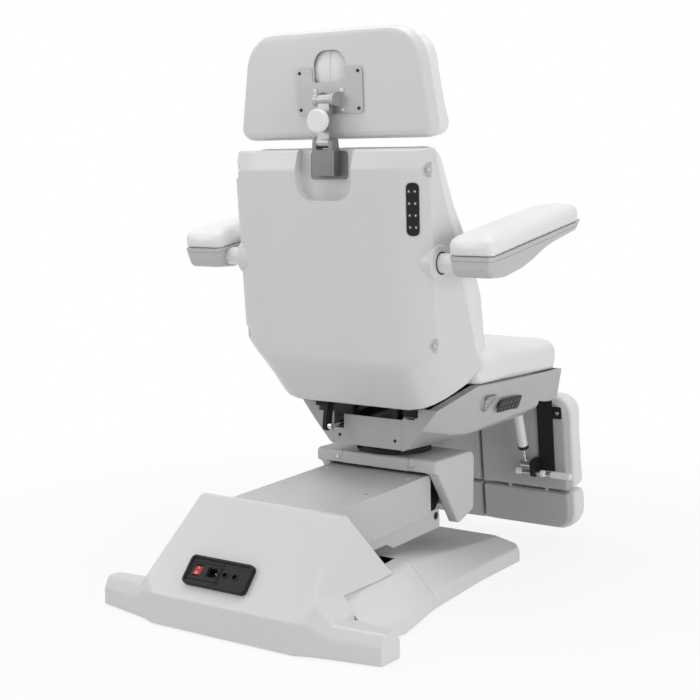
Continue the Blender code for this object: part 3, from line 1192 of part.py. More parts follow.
def back_pocket(side, z, wall=0.0):
    """Round pocket for a fixing screw in the shell's rear corner, or the liner round it."""
    surface = SHELL_LOW_Y + (z - SHELL_LOW_Z) * SHELL_LEAN - SHELL_SIDE_TUCK
    floor = BACK_AXIS_Y + surface - POCKET_DEPTH - wall
    x = side * (BACK_HALF - POCKET_EDGE)
    height = BACK_AXIS_Z + z
    return bar((x, floor, height), (x, floor + 0.2, height), POCKET_RADIUS + wall, 16)


def build_back_shell():
    """Moulded shell of the back: bent sides, hollow front, headrest recess, side pockets, axle holes."""
    axle_y = BACK_AXIS_Y + ARM_AXLE_Y
    axle_z = BACK_AXIS_Z + ARM_AXLE_Z
    liners = [back_pocket(side, POCKET_LOW_Z, POCKET_WALL) for side in (-1, 1)]
    cuts = [shaped([skin(back_rings(BACK_WALL))], liners)]
    mouth = BACK_MOUTH_HALF
    cuts.append(bar((-mouth, BACK_AXIS_Y, BACK_AXIS_Z), (mouth, BACK_AXIS_Y, BACK_AXIS_Z),
                    BACK_MOUTH, 24))
    cuts.append(block((-mouth, mouth), (0, BACK_AXIS_Y), (0, BACK_AXIS_Z + BACK_MOUTH)))
    rear = BACK_AXIS_Y + SHELL_HIGH_Y
    floor_z = BACK_AXIS_Z + RECESS_Z
    corners = [(-RECESS_HALF, 2.0, 0.001), (-RECESS_HALF, floor_z, 0.045),
               (RECESS_HALF, floor_z, 0.045)]
    corners.append((RECESS_HALF, 2.0, 0.001))
    cuts.append(prism("Y", rear - RECESS_DEPTH, rear + 0.1, corners, 5))
    pad = upright_plate(BACK_PAD_WIDTH + 0.002, BACK_PAD_HEIGHT + 0.002, 0.0, 0.05, 0.012)
    shell = shaped([skin(back_rings())], [*cuts, on_back(pad, BACK_PAD_Z)])
    axle = bar((-1, axle_y, axle_z), (1, axle_y, axle_z), ARM_AXLE_RADIUS + SEAT_GAP, 24)
    bosses = []
    cuts = [axle]
    for side in (-1, 1):
        ends = [(side * x, axle_y, axle_z) for x in (BACK_HALF - AXLE_BOSS_IN,
                                                     BACK_HALF + AXLE_BOSS_OUT)]
        bosses.append(turned(*ends, [(0.0, AXLE_BOSS), (0.9, AXLE_BOSS), (1.0, AXLE_BOSS - 0.005)]))
        cuts += [back_pocket(side, z) for z in (POCKET_LOW_Z, POCKET_HIGH_Z)]
    piece("back_shell", WHITE_PLASTIC, back, [shell, *bosses], cuts)
    pad = upright_plate(BACK_PAD_WIDTH, BACK_PAD_HEIGHT, SEAT_GAP, KEYPAD_DEPTH, 0.012)
    piece("back_keypad", BLACK_PLASTIC, back, [on_back(pad, BACK_PAD_Z)])


def build_back_frame():
    """Steel frame in the back shell: torque tube on the recline axis, two side plates and a lever."""
    def spot(y, z):
        return BACK_AXIS_Y + y, BACK_AXIS_Z + z

    reach = BACK_PLATE_X + PLATE
    solids = [bar((-reach, BACK_AXIS_Y, BACK_AXIS_Z), (reach, BACK_AXIS_Y, BACK_AXIS_Z), TORQUE_RADIUS)]
    foot = BACK_PLATE_FOOT
    top_y = BACK_PLATE_Y - BACK_PLATE_DEPTH
    for side in (-1, 1):
        outline = [(*spot(-foot, -foot), 0.9 * foot), (*spot(foot, -foot), 0.9 * foot)]
        outline += [(*spot(BACK_BEND_Y, BACK_BEND_Z), 0.060),
                    (*spot(BACK_PLATE_Y, BACK_PLATE_Z), 0.010)]
        outline += [(*spot(top_y, BACK_PLATE_Z), 0.010),
                    (*spot(BACK_BEND_Y - BACK_PLATE_DEPTH, BACK_BEND_Z), 0.060)]
        solids.append(prism("X", *mirrored(side, (BACK_PLATE_X, reach)), outline))
    tie = spot(BACK_PLATE_Y - BACK_PLATE_DEPTH / 2, BACK_PLATE_Z - BACK_TIE)
    half = BACK_TIE / 2
    solids.append(block((-reach, reach), (tie[0] - half, tie[0] + half),
                        (tie[1] - half, tie[1] + half)))
    x = (LEVER_X, LEVER_X + LEVER_WIDTH)
    solids.append(prism("X", *x, capsule((BACK_AXIS_Y, BACK_AXIS_Z), (LEVER_PIN_Y, LEVER_PIN_Z),
                                         LEVER_BOSS)))
    axle = bar((-1, *spot(ARM_AXLE_Y, ARM_AXLE_Z)), (1, *spot(ARM_AXLE_Y, ARM_AXLE_Z)),
               ARM_AXLE_RADIUS + SEAT_GAP, 24)
    piece("back_frame", DARK_STEEL, back, solids, [axle])


def back_swell(v):
    """Thickness of the back cushion up its length, as a share of its greatest."""
    share = v / SEAM_LENGTH
    belly = math.sin(math.pi * min(max(share * 1.15 + 0.10, 0.0), 1.0))
    return BACK_CUSHION_TOP / BACK_CUSHION_MIDDLE + (1 - BACK_CUSHION_TOP / BACK_CUSHION_MIDDLE) * belly


def build_back_cushion():
    """Back cushion on the shell's front seam, thickest at the loins."""
    run = Vector((0, SEAM_TOP_Y - SEAM_FOOT_Y, SEAM_TOP_Z - SEAM_FOOT_Z)).normalized()
    out = Vector((0, -run.z, run.y))
    foot = Vector((0, BACK_AXIS_Y + SEAM_FOOT_Y, BACK_AXIS_Z + SEAM_FOOT_Z)) + out * SEAT_GAP
    half = BACK_HALF - 0.002
    corners = [(-half, 0.002, 0.030), (half, 0.002, 0.030), (half, SEAM_LENGTH, 0.050),
               (-half, SEAM_LENGTH, 0.050)]
    solid = cushion(corners, BACK_CUSHION_MIDDLE, 0.010, 0.010, 0.030, back_swell)
    piece("back_cushion", WHITE_LEATHER, back, [placed(solid, foot, run, out)])


def on_tub(solid, y, z):
    """Solid drawn with its depth along X, set on the tub's right side at one height."""
    keel = RIM - TUB_DEPTH
    front_keel = RIM - TUB_FRONT_DEPTH
    share = (y - TUB_WAIST_Y) / (TUB_THIGH_Y - TUB_WAIST_Y)
    knee = Vector((SEAT_HALF - TUB_SIDE_FLARE, 0, keel + TUB_WAIST_RISE))
    knee = knee.lerp(Vector((TUB_FRONT_HALF, 0, front_keel)), share)
    rim = Vector((SEAT_HALF - 0.005 + 0.003 * share, 0, RIM))
    up = (rim - knee).normalized()
    place = knee + up * (z - knee.z) / up.z
    out = Vector((up.z, 0, -up.x))
    mirror = Matrix.Diagonal((-1, 1, 1, 1))
    frame = Matrix((out, (0, 1, 0), up)).transposed().to_4x4()
    solid.transform(mirror @ Matrix.Translation((place.x, y, place.z)) @ frame)
    return outward(solid)


def upright_plate(length, height, low, high, radius):
    """Plate with rounded corners, its depth along X."""
    u = length / 2
    v = height / 2
    return prism("X", low, high, [(-u, -v, radius), (u, -v, radius), (u, v, radius), (-u, v, radius)])


def ring_tube(points, radius, sides=8):
    """Closed loop of round wire through points."""
    bm = bmesh.new()
    count = len(points)
    rows = []
    for i, point in enumerate(points):
        run = (points[(i + 1) % count] - points[i - 1]).normalized()
        across = run.cross(Vector((1, 0, 0))).normalized()
        row = []
        for k in range(sides):
            angle = 2 * math.pi * k / sides
            aside = Vector((math.sin(angle), 0, 0))
            row.append(bm.verts.new(point + radius * (across * math.cos(angle) + aside)))
        rows.append(row)
    for i in range(count):
        for k in range(sides):
            bm.faces.new((rows[i - 1][k - 1], rows[i - 1][k], rows[i][k], rows[i][k - 1]))
    return outward(bm)


def build_seat_fittings():
    """Keypad and wire handset hook on the right side of the tub."""
    pad = upright_plate(KEYPAD_LENGTH, KEYPAD_HEIGHT, SEAT_GAP, KEYPAD_DEPTH, 0.010)
    piece("seat_keypad", BLACK_PLASTIC, seat, [on_tub(pad, KEYPAD_Y, KEYPAD_Z)])
    u = HOOK_WIDTH / 2
    v = HOOK_HEIGHT / 2
    corners = [(0, -v, 0.010), (u, v, 0.006), (-u, v, 0.006)]
    stand = HOOK_PLATE + HOOK_WIRE
    wire = ring_tube([Vector((stand, p.x, p.y)) for p in fillet(corners, 5)], HOOK_WIRE)
    plate = upright_plate(HOOK_WIDTH * 0.8, 0.014, SEAT_GAP, stand + HOOK_WIRE / 2, 0.004)
    plate.transform(Matrix.Translation((0, 0, v)))
    piece("handset_hook", BRIGHT_STEEL, seat,
          [on_tub(plate, HOOK_Y, HOOK_Z), on_tub(wire, HOOK_Y, HOOK_Z)])


def tub_flats():
    """Flats on the tub's side under the keypad and the hook."""
    pad = upright_plate(KEYPAD_LENGTH + 0.002, KEYPAD_HEIGHT + 0.002, 0.0, 0.05, 0.010)
    plate = upright_plate(HOOK_WIDTH, 0.018, 0.0, 0.05, 0.004)
    plate.transform(Matrix.Translation((0, 0, HOOK_HEIGHT / 2)))
    return [on_tub(pad, KEYPAD_Y, KEYPAD_Z), on_tub(plate, HOOK_Y, HOOK_Z)]


def build_seat_actuators():
    """Tilt actuator from the swivel to the seat frame, and back actuator to the back's lever."""
    sizes = (DRIVE_RADIUS, DRIVE_ROD, DRIVE_PIN)
    foot = (TILT_FOOT_Y, TILT_FOOT_Z)
    build_actuator("tilt_actuator", TILT_DRIVE_X, foot, (DRIVE_Y, DRIVE_Z), swivel, sizes,
                   DRIVE_PIN + CUP_GAP)
    top = (LEVER_PIN_Y, LEVER_PIN_Z)
    build_actuator("back_actuator", BACK_DRIVE_X, (DRIVE_Y, DRIVE_Z), top, seat, sizes, 0.0, 0.42)


def build_headrest_mount():
    """Bracket in the shell's recess, swinging link and clamping knob."""
    rear = BACK_AXIS_Y + SHELL_HIGH_Y - RECESS_DEPTH + SEAT_GAP
    y = BACK_AXIS_Y + NECK_Y
    z = BACK_AXIS_Z + NECK_Z
    inner = LINK_WIDTH / 2 + SEAT_GAP
    corners = [(-BRACKET_HALF, z - BRACKET_DROP, 0.010), (BRACKET_HALF, z - BRACKET_DROP, 0.010)]
    corners += [(BRACKET_HALF, z - 0.020, 0.010), (-BRACKET_HALF, z - 0.020, 0.010)]
    solids = [prism("Y", rear, rear + NECK_PLATE, corners)]
    for side in (-1, 1):
        outline = [(rear + 0.001, z - BRACKET_DROP + 0.012, 0.002), (y + NECK_EYE, z - 0.020, 0.008)]
        outline += [(y + NECK_EYE, z + NECK_EYE, NECK_EYE * 0.95),
                    (y - NECK_EYE, z + NECK_EYE, NECK_EYE * 0.95)]
        outline += [(rear + 0.001, z - 0.021, 0.002)]
        solids.append(prism("X", *mirrored(side, (inner, inner + EAR_WIDTH)), outline))
    reach = inner + EAR_WIDTH / 2
    solids.append(bar((-reach, y, z), (reach, y, z), NECK_PIN))
    piece("headrest_bracket", GREY_PAINT, back, solids)

    top = z + LINK_LENGTH
    half = LINK_WIDTH / 2
    web = half - 0.001
    solids = [block((-web, web), (y - LINK_THICK / 2, y + LINK_THICK / 2),
                    (z + NECK_PIN, top - NECK_PIN))]
    cuts = []
    for level in (z, top):
        solids.append(bar((-half, y, level), (half, y, level), NECK_EYE, 20))
        cuts.append(bar((-1, y, level), (1, y, level), NECK_PIN + PIN_PLAY))
    middle = (z + top) / 2
    cuts.append(bar((0, y - 0.1, middle), (0, y + 0.1, middle), KNOB_STEM + PIN_PLAY))
    piece("headrest_link", GREY_PAINT, neck, solids, cuts)

    face = y + LINK_THICK / 2 + KNOB_STAND
    knob = pivot("headrest_knob", (0, face, middle), neck)
    profile = [(0, KNOB_RADIUS * 0.55), (0.18, KNOB_RADIUS * 0.94), (0.45, KNOB_RADIUS)]
    profile += [(0.85, KNOB_RADIUS), (1, KNOB_RADIUS * 0.88)]
    grip = turned((0, face, middle), (0, face + KNOB_HEIGHT, middle), profile, 24)
    stem = bar((0, y - LINK_THICK / 2, middle), (0, face + KNOB_HEIGHT / 2, middle), KNOB_STEM)
    piece("headrest_knob", WHITE_PLASTIC, knob, [grip, stem])


def on_headrest(solid):
    """Solid drawn flat about the upper headrest hinge, set in place."""
    place = (0, BACK_AXIS_Y + NECK_Y, BACK_AXIS_Z + NECK_Z + LINK_LENGTH)
    along = (0, math.sin(HEADREST_LEAN), math.cos(HEADREST_LEAN))
    out = (0, -math.cos(HEADREST_LEAN), math.sin(HEADREST_LEAN))
    return placed(solid, place, along, out)


def headrest_window():
    """Arched window over the hinge, through the plate and the shell."""
    low = NECK_PLATE_HIGH - 0.036
    half = WINDOW_HALF
    high = low + WINDOW_HEIGHT
    corners = [(-half, low, 0.008), (half, low, 0.008), (half, high, half * 0.97),
               (-half, high, half * 0.97)]
    return on_headrest(prism("Z", -1, 1, corners, 6))


def build_headrest():
    """Headrest: hinge plate, moulded shell with a window, and a crowned cushion."""
    inner = LINK_WIDTH / 2 + SEAT_GAP
    face = NECK_EYE + NECK_STAND
    half = NECK_PLATE_HALF
    corners = [(-half, NECK_PLATE_LOW, 0.012), (half, NECK_PLATE_LOW, 0.012)]
    corners += [(half, NECK_PLATE_HIGH, 0.012), (-half, NECK_PLATE_HIGH, 0.012)]
    solids = [on_headrest(prism("Z", face, face + NECK_PLATE, corners))]
    for side in (-1, 1):
        outline = [(-NECK_EYE, -NECK_EYE, NECK_EYE * 0.95), (NECK_EYE, -NECK_EYE, NECK_EYE * 0.95)]
        outline += [(NECK_EYE + 0.006, face + 0.001, 0.002), (-NECK_EYE - 0.006, face + 0.001, 0.002)]
        solids.append(on_headrest(prism("X", *mirrored(side, (inner, inner + EAR_WIDTH)), outline)))
    reach = inner + EAR_WIDTH / 2
    solids.append(on_headrest(bar((-reach, 0, 0), (reach, 0, 0), NECK_PIN)))
    window = headrest_window()
    piece("headrest_plate", GREY_PAINT, headrest, solids, [window])

    low = -LINK_LENGTH + HEADREST_FOOT
    high = low + HEADREST_HEIGHT
    foot = HEADREST_FOOT_HALF
    top = HEADREST_TOP_HALF
    corners = [(-foot, low, 0.030), (foot, low, 0.030), (top, high, HEADREST_CORNER)]
    corners.append((-top, high, HEADREST_CORNER))
    rear = face + NECK_PLATE + SEAT_GAP
    front = rear + HEADREST_SHELL_DEPTH
    levels = [(rear, 0.020), (rear + 0.006, 0.008), (rear + 0.018, 0.002), (front, 0.0)]
    shell = skin([on_plane("Z", w, fillet(inset(corners, amount), 5)) for w, amount in levels])
    space = prism("Z", rear + 0.008, front + 0.01, inset(corners, 0.020), 5)
    piece("headrest_shell", WHITE_PLASTIC, headrest, [on_headrest(shell)],
          [on_headrest(space), headrest_window()])
    pad = cushion(corners, HEADREST_PAD_DEPTH, 0.010, 0.010, 0.030)
    pad.transform(Matrix.Translation((0, 0, front + SEAT_GAP)))
    piece("headrest_cushion", WHITE_LEATHER, headrest, [on_headrest(pad)])


def build_armrests():
    """Axle tube through the back, and an armrest of shell and pad on each end."""
    y = BACK_AXIS_Y + ARM_AXLE_Y
    z = BACK_AXIS_Z + ARM_AXLE_Z
    inside = BACK_HALF + ARMREST_GAP
    reach = inside + ARMREST_WIDTH / 2
    piece("armrest_axle", WHITE_PLASTIC, back,
          [bar((-reach, y, z), (reach, y, z), ARM_AXLE_RADIUS, 24)])
    along = (0, -math.cos(ARMREST_TILT), math.sin(ARMREST_TILT))
    up = (0, math.sin(ARMREST_TILT), math.cos(ARMREST_TILT))
    half = ARMREST_WIDTH / 2
    front = ARMREST_LENGTH - ARMREST_REAR
    for side, name in ((-1, "right"), (1, "left")):
        body = pivot("armrest_" + name, (side * (inside + half), y, z), back)
        place = world(body)
        rings = []
        for v, tuck, share in ((-ARMREST_REAR, 0.012, 0.5), (-ARMREST_REAR + 0.014, 0.003, 0.84),
                               (0.020, 0.0, 1.0), (0.25 * front, 0.0, 0.96), (0.38 * front, 0.0, 0.80),
                               (0.50 * front, 0.0, 0.60), (0.62 * front, 0.0, 0.48),
                               (front - 0.040, 0.002, 0.40), (front, 0.014, 0.28)):
            wide = half - tuck
            low = ARMREST_LINE - ARMREST_DEEP * share
            section = [(-wide, ARMREST_LINE, 0.002), (-wide + 0.008, low, 0.016),
                       (wide - 0.008, low, 0.016)]
            section.append((wide, ARMREST_LINE, 0.002))
            rings.append(on_plane("Y", v, fillet(section)))
        shell = placed(skin(rings), place, along, up)
        hole = bar((place.x - side * 0.2, y, z),
                   (place.x + side * (reach - inside - half + 0.002), y, z),
                   ARM_AXLE_RADIUS + PIN_PLAY, 24)
        piece("armrest_shell_" + name, WHITE_PLASTIC, body, [shell], [hole])
        corners = [(-half, -ARMREST_REAR, 0.022), (half, -ARMREST_REAR, 0.022),
                   (half, front, 0.050), (-half, front, 0.050)]
        pad = cushion(corners, ARMREST_PAD, 0.006, 0.005, 0.018)
        pad.transform(Matrix.Translation((0, 0, ARMREST_LINE + SEAT_GAP)))
        piece("armrest_pad_" + name, WHITE_LEATHER, body, [placed(pad, place, along, up)])


def leg_point(x, v, w):
    """Place on a leg rest: across, down the leg from the knee, and forward of its middle plane."""
    y = KNEE_Y - v * math.sin(LEG_LEAN) - w * math.cos(LEG_LEAN)
    return Vector((x, y, KNEE_Z - v * math.cos(LEG_LEAN) + w * math.sin(LEG_LEAN)))


def on_leg(solid):
    """Solid drawn flat about the knee, set in place."""
    along = (0, -math.sin(LEG_LEAN), -math.cos(LEG_LEAN))
    out = (0, -math.cos(LEG_LEAN), math.sin(LEG_LEAN))
    return placed(solid, (0, KNEE_Y, KNEE_Z), along, out)


def leg_outline(side, top, length, radii, inside=0.0):
    """Corners of a leg or foot pad, or of a tray inside its outer edge, rounded at the outer corners."""
    inner = side * LEG_SPLIT
    outer = side * (LEG_SPLIT + LEG_WIDTH - inside)
    corners = [(inner, top, 0.006), (outer, top, radii[0]), (outer, top + length, radii[1]),
               (inner, top + length, 0.006)]
    return corners if side > 0 else [corners[0], *reversed(corners[1:])]


def leg_shell(corners, rear):
    """Moulded tray behind a leg or foot pad, and the space inside it."""
    front = rear + LEG_SHELL_DEPTH
    levels = [(rear, 0.010), (rear + 0.004, 0.003), (rear + 0.012, 0.0), (front, 0.0)]
    tray = skin([on_plane("Z", w, fillet(inset(corners, amount), 5)) for w, amount in levels])
    levels = [(rear + 0.004, 0.0105), (rear + 0.012, 0.004), (front + 0.010, 0.004)]
    space = skin([on_plane("Z", w, fillet(inset(corners, amount), 5)) for w, amount in levels])
    return on_leg(tray), on_leg(space)


def build_leg(side, name):
    """One leg rest: hinged rail, moulded tray, cushion, gas strut, pull release and sliding foot pad."""
    body = pivot("leg_" + name, (side * LEG_RAIL_X, KNEE_Y, KNEE_Z), seat)
    half = LEG_RAIL_WIDTH / 2
    lug = mirrored(side, (KNEE_LUG_IN, LEG_RAIL_X - half + 0.002))
    rail_x = mirrored(side, (LEG_RAIL_X - half, LEG_RAIL_X + half))
    thick = LEG_RAIL_THICK / 2
    plate_x = (rail_x[0] + 0.001, rail_x[1] - 0.001)
    solids = [on_leg(block(plate_x, (0.002, LEG_RAIL_LENGTH), (-thick, thick)))]
    solids.append(on_leg(bar((rail_x[0], 0, 0), (rail_x[1], 0, 0), KNEE_KNUCKLE)))
    outline = [(STRUT_FOOT - 0.012, thick - 0.001, 0.001), (LEVER_FOOT + 0.012, thick - 0.001, 0.001)]
    outline += [(LEVER_FOOT + 0.012, -STRUT_STAND - 0.012, 0.010),
                (STRUT_FOOT - 0.012, -STRUT_STAND - 0.012, 0.010)]
    solids.append(on_leg(prism("X", *lug, outline)))
    pin = mirrored(side, (STRUT_X - STRUT_EYE - 0.003, KNEE_LUG_IN + 0.004))
    solids.append(on_leg(bar((pin[0], STRUT_FOOT, -STRUT_STAND), (pin[1], STRUT_FOOT, -STRUT_STAND),
                             STRUT_PIN)))
    pin = mirrored(side, (KNEE_LUG_IN - 0.002, KNEE_LUG_OUT + 0.002))
    solids.append(on_leg(bar((pin[0], 0, 0), (pin[1], 0, 0), KNEE_PIN)))
    hole = on_leg(bar((-1, LEVER_FOOT, -STRUT_STAND), (1, LEVER_FOOT, -STRUT_STAND),
                      LEVER_RADIUS + PIN_PLAY))
    piece("leg_rail_" + name, DARK_STEEL, body, solids, [hole])

    rear = thick + SEAT_GAP
    front = rear + LEG_SHELL_DEPTH
    corners = leg_outline(side, LEG_TOP, LEG_LENGTH - LEG_TOP, (LEG_CORNER, 0.014))
    top = LEG_TOP + TRAY_INSET
    inner = leg_outline(side, top, LEG_LENGTH - top, (LEG_CORNER - TRAY_INSET, 0.010), TRAY_INSET)
    tray, space = leg_shell(inner, rear)
    guides = [(side * x, rear + 0.55 * LEG_SHELL_DEPTH) for x in (GUIDE_IN, GUIDE_OUT)]
    cuts = [space]
    for x, w in guides:
        cuts.append(on_leg(bar((x, LEG_LENGTH / 2, w), (x, LEG_LENGTH + 0.1, w),
                               GUIDE_RADIUS + PIN_PLAY)))
    piece("leg_shell_" + name, WHITE_PLASTIC, body, [tray], cuts)
    pad = cushion(corners, LEG_PAD_DEPTH, 0.008, 0.0015, 0.026)
    pad.transform(Matrix.Translation((0, 0, front + SEAT_GAP)))
    piece("leg_cushion_" + name, WHITE_LEATHER, body, [on_leg(pad)])

    foot_top = LEG_LENGTH + FOOT_GAP
    slide = pivot("foot_slide_" + name, leg_point(side * LEG_RAIL_X, foot_top, 0), body)
    corners = leg_outline(side, foot_top, FOOT_LENGTH, (0.014, LEG_CORNER))
    radii = (0.010, LEG_CORNER - TRAY_INSET)
    inner = leg_outline(side, foot_top, FOOT_LENGTH - TRAY_INSET, radii, TRAY_INSET)
    tray, space = leg_shell(inner, rear)
    solids = [tray]
    for x, w in guides:
        ends = [(x, foot_top - GUIDE_LENGTH, w), (x, foot_top + 0.003, w)]
        solids.append(on_leg(bar(*ends, GUIDE_RADIUS)))
    piece("foot_shell_" + name, WHITE_PLASTIC, slide, solids, [space])
    pad = cushion(corners, LEG_PAD_DEPTH, 0.006, 0.0015, 0.026)
    pad.transform(Matrix.Translation((0, 0, front + SEAT_GAP)))
    piece("foot_cushion_" + name, WHITE_LEATHER, slide, [on_leg(pad)])

    x = side * STRUT_X
    low = leg_point(x, STRUT_FOOT, -STRUT_STAND)
    high = Vector((x, STRUT_A_Y, STRUT_A_Z))
    run = high - low
    across = Vector((KNEE_LUG_IN - STRUT_X - RUN_GAP, 0, 0))
    swing = pivot("strut_" + name, low, body)
    eye = bar(low - across, low + across, STRUT_EYE)
    rod = bar(low, low + run * 0.86, STRUT_ROD_RADIUS)
    hole = bar(low - 2 * across, low + 2 * across, STRUT_PIN + PIN_PLAY)
    piece("strut_rod_" + name, BRIGHT_STEEL, swing, [rod, eye], [hole])
    tube = pivot("strut_tube_" + name, high, swing)
    barrel = turned(low + run * 0.24, high,
                    [(0, STRUT_RADIUS * 0.8), (0.03, STRUT_RADIUS), (0.93, STRUT_RADIUS),
                                             (0.99, STRUT_RADIUS * 0.6)])
    eye = bar(high - across, high + across, STRUT_EYE)
    hole = bar(low, low + run * 0.90, STRUT_ROD_RADIUS + PIN_PLAY)
    piece("strut_tube_" + name, WHITE_PLASTIC, tube, [barrel, eye], [hole])

    release = pivot("leg_release_" + name, leg_point(side * KNEE_LUG_IN, LEVER_FOOT, -STRUT_STAND),
                    body)
    inner = STRUT_X - 0.035
    grip = LEG_RAIL_X + half
    length = grip + GRIP_LENGTH - inner
    turns = [(0.0, 0.004), (0.004, GRIP_RADIUS), (0.016, GRIP_RADIUS), (0.022, LEVER_RADIUS)]
    ball = LEG_RAIL_X - inner
    turns += [(ball - 0.010, LEVER_RADIUS), (ball - 0.005, GRIP_RADIUS), (ball + 0.005, GRIP_RADIUS)]
    turns += [(ball + 0.010, LEVER_RADIUS), (grip - inner, LEVER_RADIUS),
              (grip - inner + 0.004, GRIP_RADIUS)]
    turns += [(length - 0.005, GRIP_RADIUS), (length, GRIP_RADIUS * 0.6)]
    ends = [(side * at, LEVER_FOOT, -STRUT_STAND) for at in (inner, inner + length)]
    handle = turned(*ends, [(at / length, radius) for at, radius in turns])
    piece("leg_release_" + name, WHITE_PLASTIC, release, [on_leg(handle)])


build_base_frame()
build_base_covers()
build_rear_cover()
build_inlet()
build_lift_arm()
build_arm_cover()
build_lower_link()
build_lift_actuator()
build_head()
build_swivel()
build_seat_frame()
build_seat_shell()
build_seat_cushion()
build_seat_fittings()
build_seat_actuators()
build_back_shell()
build_back_frame()
build_back_cushion()
build_headrest_mount()
build_headrest()
build_armrests()
build_leg(-1, "right")
build_leg(1, "left")
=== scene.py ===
import json
import math

import bpy
from mathutils import Matrix, Vector
from mathutils.bvhtree import BVHTree

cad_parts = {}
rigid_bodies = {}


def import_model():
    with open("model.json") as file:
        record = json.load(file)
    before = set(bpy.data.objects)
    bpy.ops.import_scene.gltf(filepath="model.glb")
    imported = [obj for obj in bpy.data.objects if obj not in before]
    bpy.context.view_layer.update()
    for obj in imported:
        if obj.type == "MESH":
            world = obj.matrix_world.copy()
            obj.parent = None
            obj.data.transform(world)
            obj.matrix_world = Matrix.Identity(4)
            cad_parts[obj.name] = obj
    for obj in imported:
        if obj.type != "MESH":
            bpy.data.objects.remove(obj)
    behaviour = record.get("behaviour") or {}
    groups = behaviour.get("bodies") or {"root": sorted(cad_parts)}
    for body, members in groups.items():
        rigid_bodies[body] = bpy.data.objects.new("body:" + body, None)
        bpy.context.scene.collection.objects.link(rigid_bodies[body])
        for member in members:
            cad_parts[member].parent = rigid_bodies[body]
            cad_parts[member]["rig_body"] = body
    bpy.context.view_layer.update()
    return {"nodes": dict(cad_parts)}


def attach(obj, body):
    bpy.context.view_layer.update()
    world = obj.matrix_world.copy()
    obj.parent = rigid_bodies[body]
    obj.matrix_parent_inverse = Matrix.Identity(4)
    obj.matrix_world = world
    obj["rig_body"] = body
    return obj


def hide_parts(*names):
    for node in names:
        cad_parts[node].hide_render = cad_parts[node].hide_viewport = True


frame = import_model()

# The studio: a wide white floor that keeps a soft shadow, a large lamp overhead, one from
# the camera's left and a low one from its right. The camera stands behind the chair's
# right shoulder, a little above the armrests.
EYE = Vector((-2.058, 3.192, 1.050))
AIM = Vector((0.0, 0.215, 0.627))

bpy.ops.mesh.primitive_plane_add(size=60, location=(0, 0, -0.001))
floor = bpy.context.object
floor.name = "studio_floor"
paper = bpy.data.materials.new("white_floor")
paper.use_nodes = True
tree = paper.node_tree
matt = tree.nodes["Principled BSDF"]
matt.inputs["Base Color"].default_value = (0.86, 0.86, 0.86, 1)
matt.inputs["Roughness"].default_value = 0.9
glow = tree.nodes.new("ShaderNodeEmission")
glow.inputs["Color"].default_value = (1, 1, 1, 1)
ray = tree.nodes.new("ShaderNodeLightPath")
seen = tree.nodes.new("ShaderNodeMath")
seen.operation = "MAXIMUM"
share = tree.nodes.new("ShaderNodeMath")
share.operation = "MULTIPLY"
spread = tree.nodes.new("ShaderNodeTexCoord")
away = tree.nodes.new("ShaderNodeVectorMath")
away.operation = "LENGTH"
fade = tree.nodes.new("ShaderNodeMapRange")
fade.interpolation_type = "SMOOTHSTEP"
fade.inputs["From Min"].default_value = 0.6
fade.inputs["From Max"].default_value = 2.4
fade.inputs["To Min"].default_value = 0.86
fade.inputs["To Max"].default_value = 1.0
both = tree.nodes.new("ShaderNodeMixShader")
tree.links.new(spread.outputs["Object"], away.inputs[0])
tree.links.new(away.outputs["Value"], fade.inputs["Value"])
tree.links.new(fade.outputs["Result"], share.inputs[1])
tree.links.new(ray.outputs["Is Camera Ray"], seen.inputs[0])
tree.links.new(ray.outputs["Is Glossy Ray"], seen.inputs[1])
tree.links.new(seen.outputs[0], share.inputs[0])
tree.links.new(share.outputs[0], both.inputs[0])
tree.links.new(matt.outputs[0], both.inputs[1])
tree.links.new(glow.outputs[0], both.inputs[2])
tree.links.new(both.outputs[0], tree.nodes["Material Output"].inputs["Surface"])
floor.data.materials.append(paper)

sky = bpy.data.worlds.new("white_room")
bpy.context.scene.world = sky
sky.use_nodes = True
tree = sky.node_tree
room = tree.nodes["Background"]
room.inputs["Color"].default_value = (1, 1, 1, 1)
ray = tree.nodes.new("ShaderNodeLightPath")
seen = tree.nodes.new("ShaderNodeMath")
seen.operation = "MAXIMUM"
level = tree.nodes.new("ShaderNodeMapRange")
level.inputs["To Min"].default_value = 0.42
level.inputs["To Max"].default_value = 1.0
tree.links.new(ray.outputs["Is Camera Ray"], seen.inputs[0])
tree.links.new(ray.outputs["Is Glossy Ray"], seen.inputs[1])
tree.links.new(seen.outputs[0], level.inputs["Value"])
tree.links.new(level.outputs[0], room.inputs["Strength"])

for name, place, size, watts in (
    ("lamp_above", (0.2, 0.4, 3.4), 2.6, 49),
    ("lamp_left", (2.6, 2.6, 2.1), 1.6, 22),
    ("lamp_right", (-3.0, 1.1, 0.9), 1.6, 26),
):
    bpy.ops.object.light_add(type="AREA", location=place)
    lamp = bpy.context.object
    lamp.name = name
    lamp.data.size = size
    lamp.data.energy = watts
    lamp.rotation_euler = (AIM - Vector(place)).to_track_quat("-Z", "Y").to_euler()

bpy.ops.object.camera_add(location=EYE)
camera = bpy.context.object
camera.rotation_euler = (AIM - EYE).to_track_quat("-Z", "Y").to_euler()
camera.data.sensor_width = 36
camera.data.lens = 72.7
bpy.context.scene.camera = camera
bpy.context.scene.view_settings.view_transform = "Standard"

# The floor frame: a steel plate with two uprights that carry the lift arm, welded and
# powder-coated grey. The base covers and the rear cover stand over it.
SHARP = math.radians(30)
BROKEN_ABOVE = math.radians(35)
SAME_FACE = math.radians(0.6)
SAME_POINT = 0.00002


def pick(piece):
    """Selects one piece alone."""
    bpy.ops.object.select_all(action="DESELECT")
    piece.select_set(True)
    bpy.context.view_layer.objects.active = piece


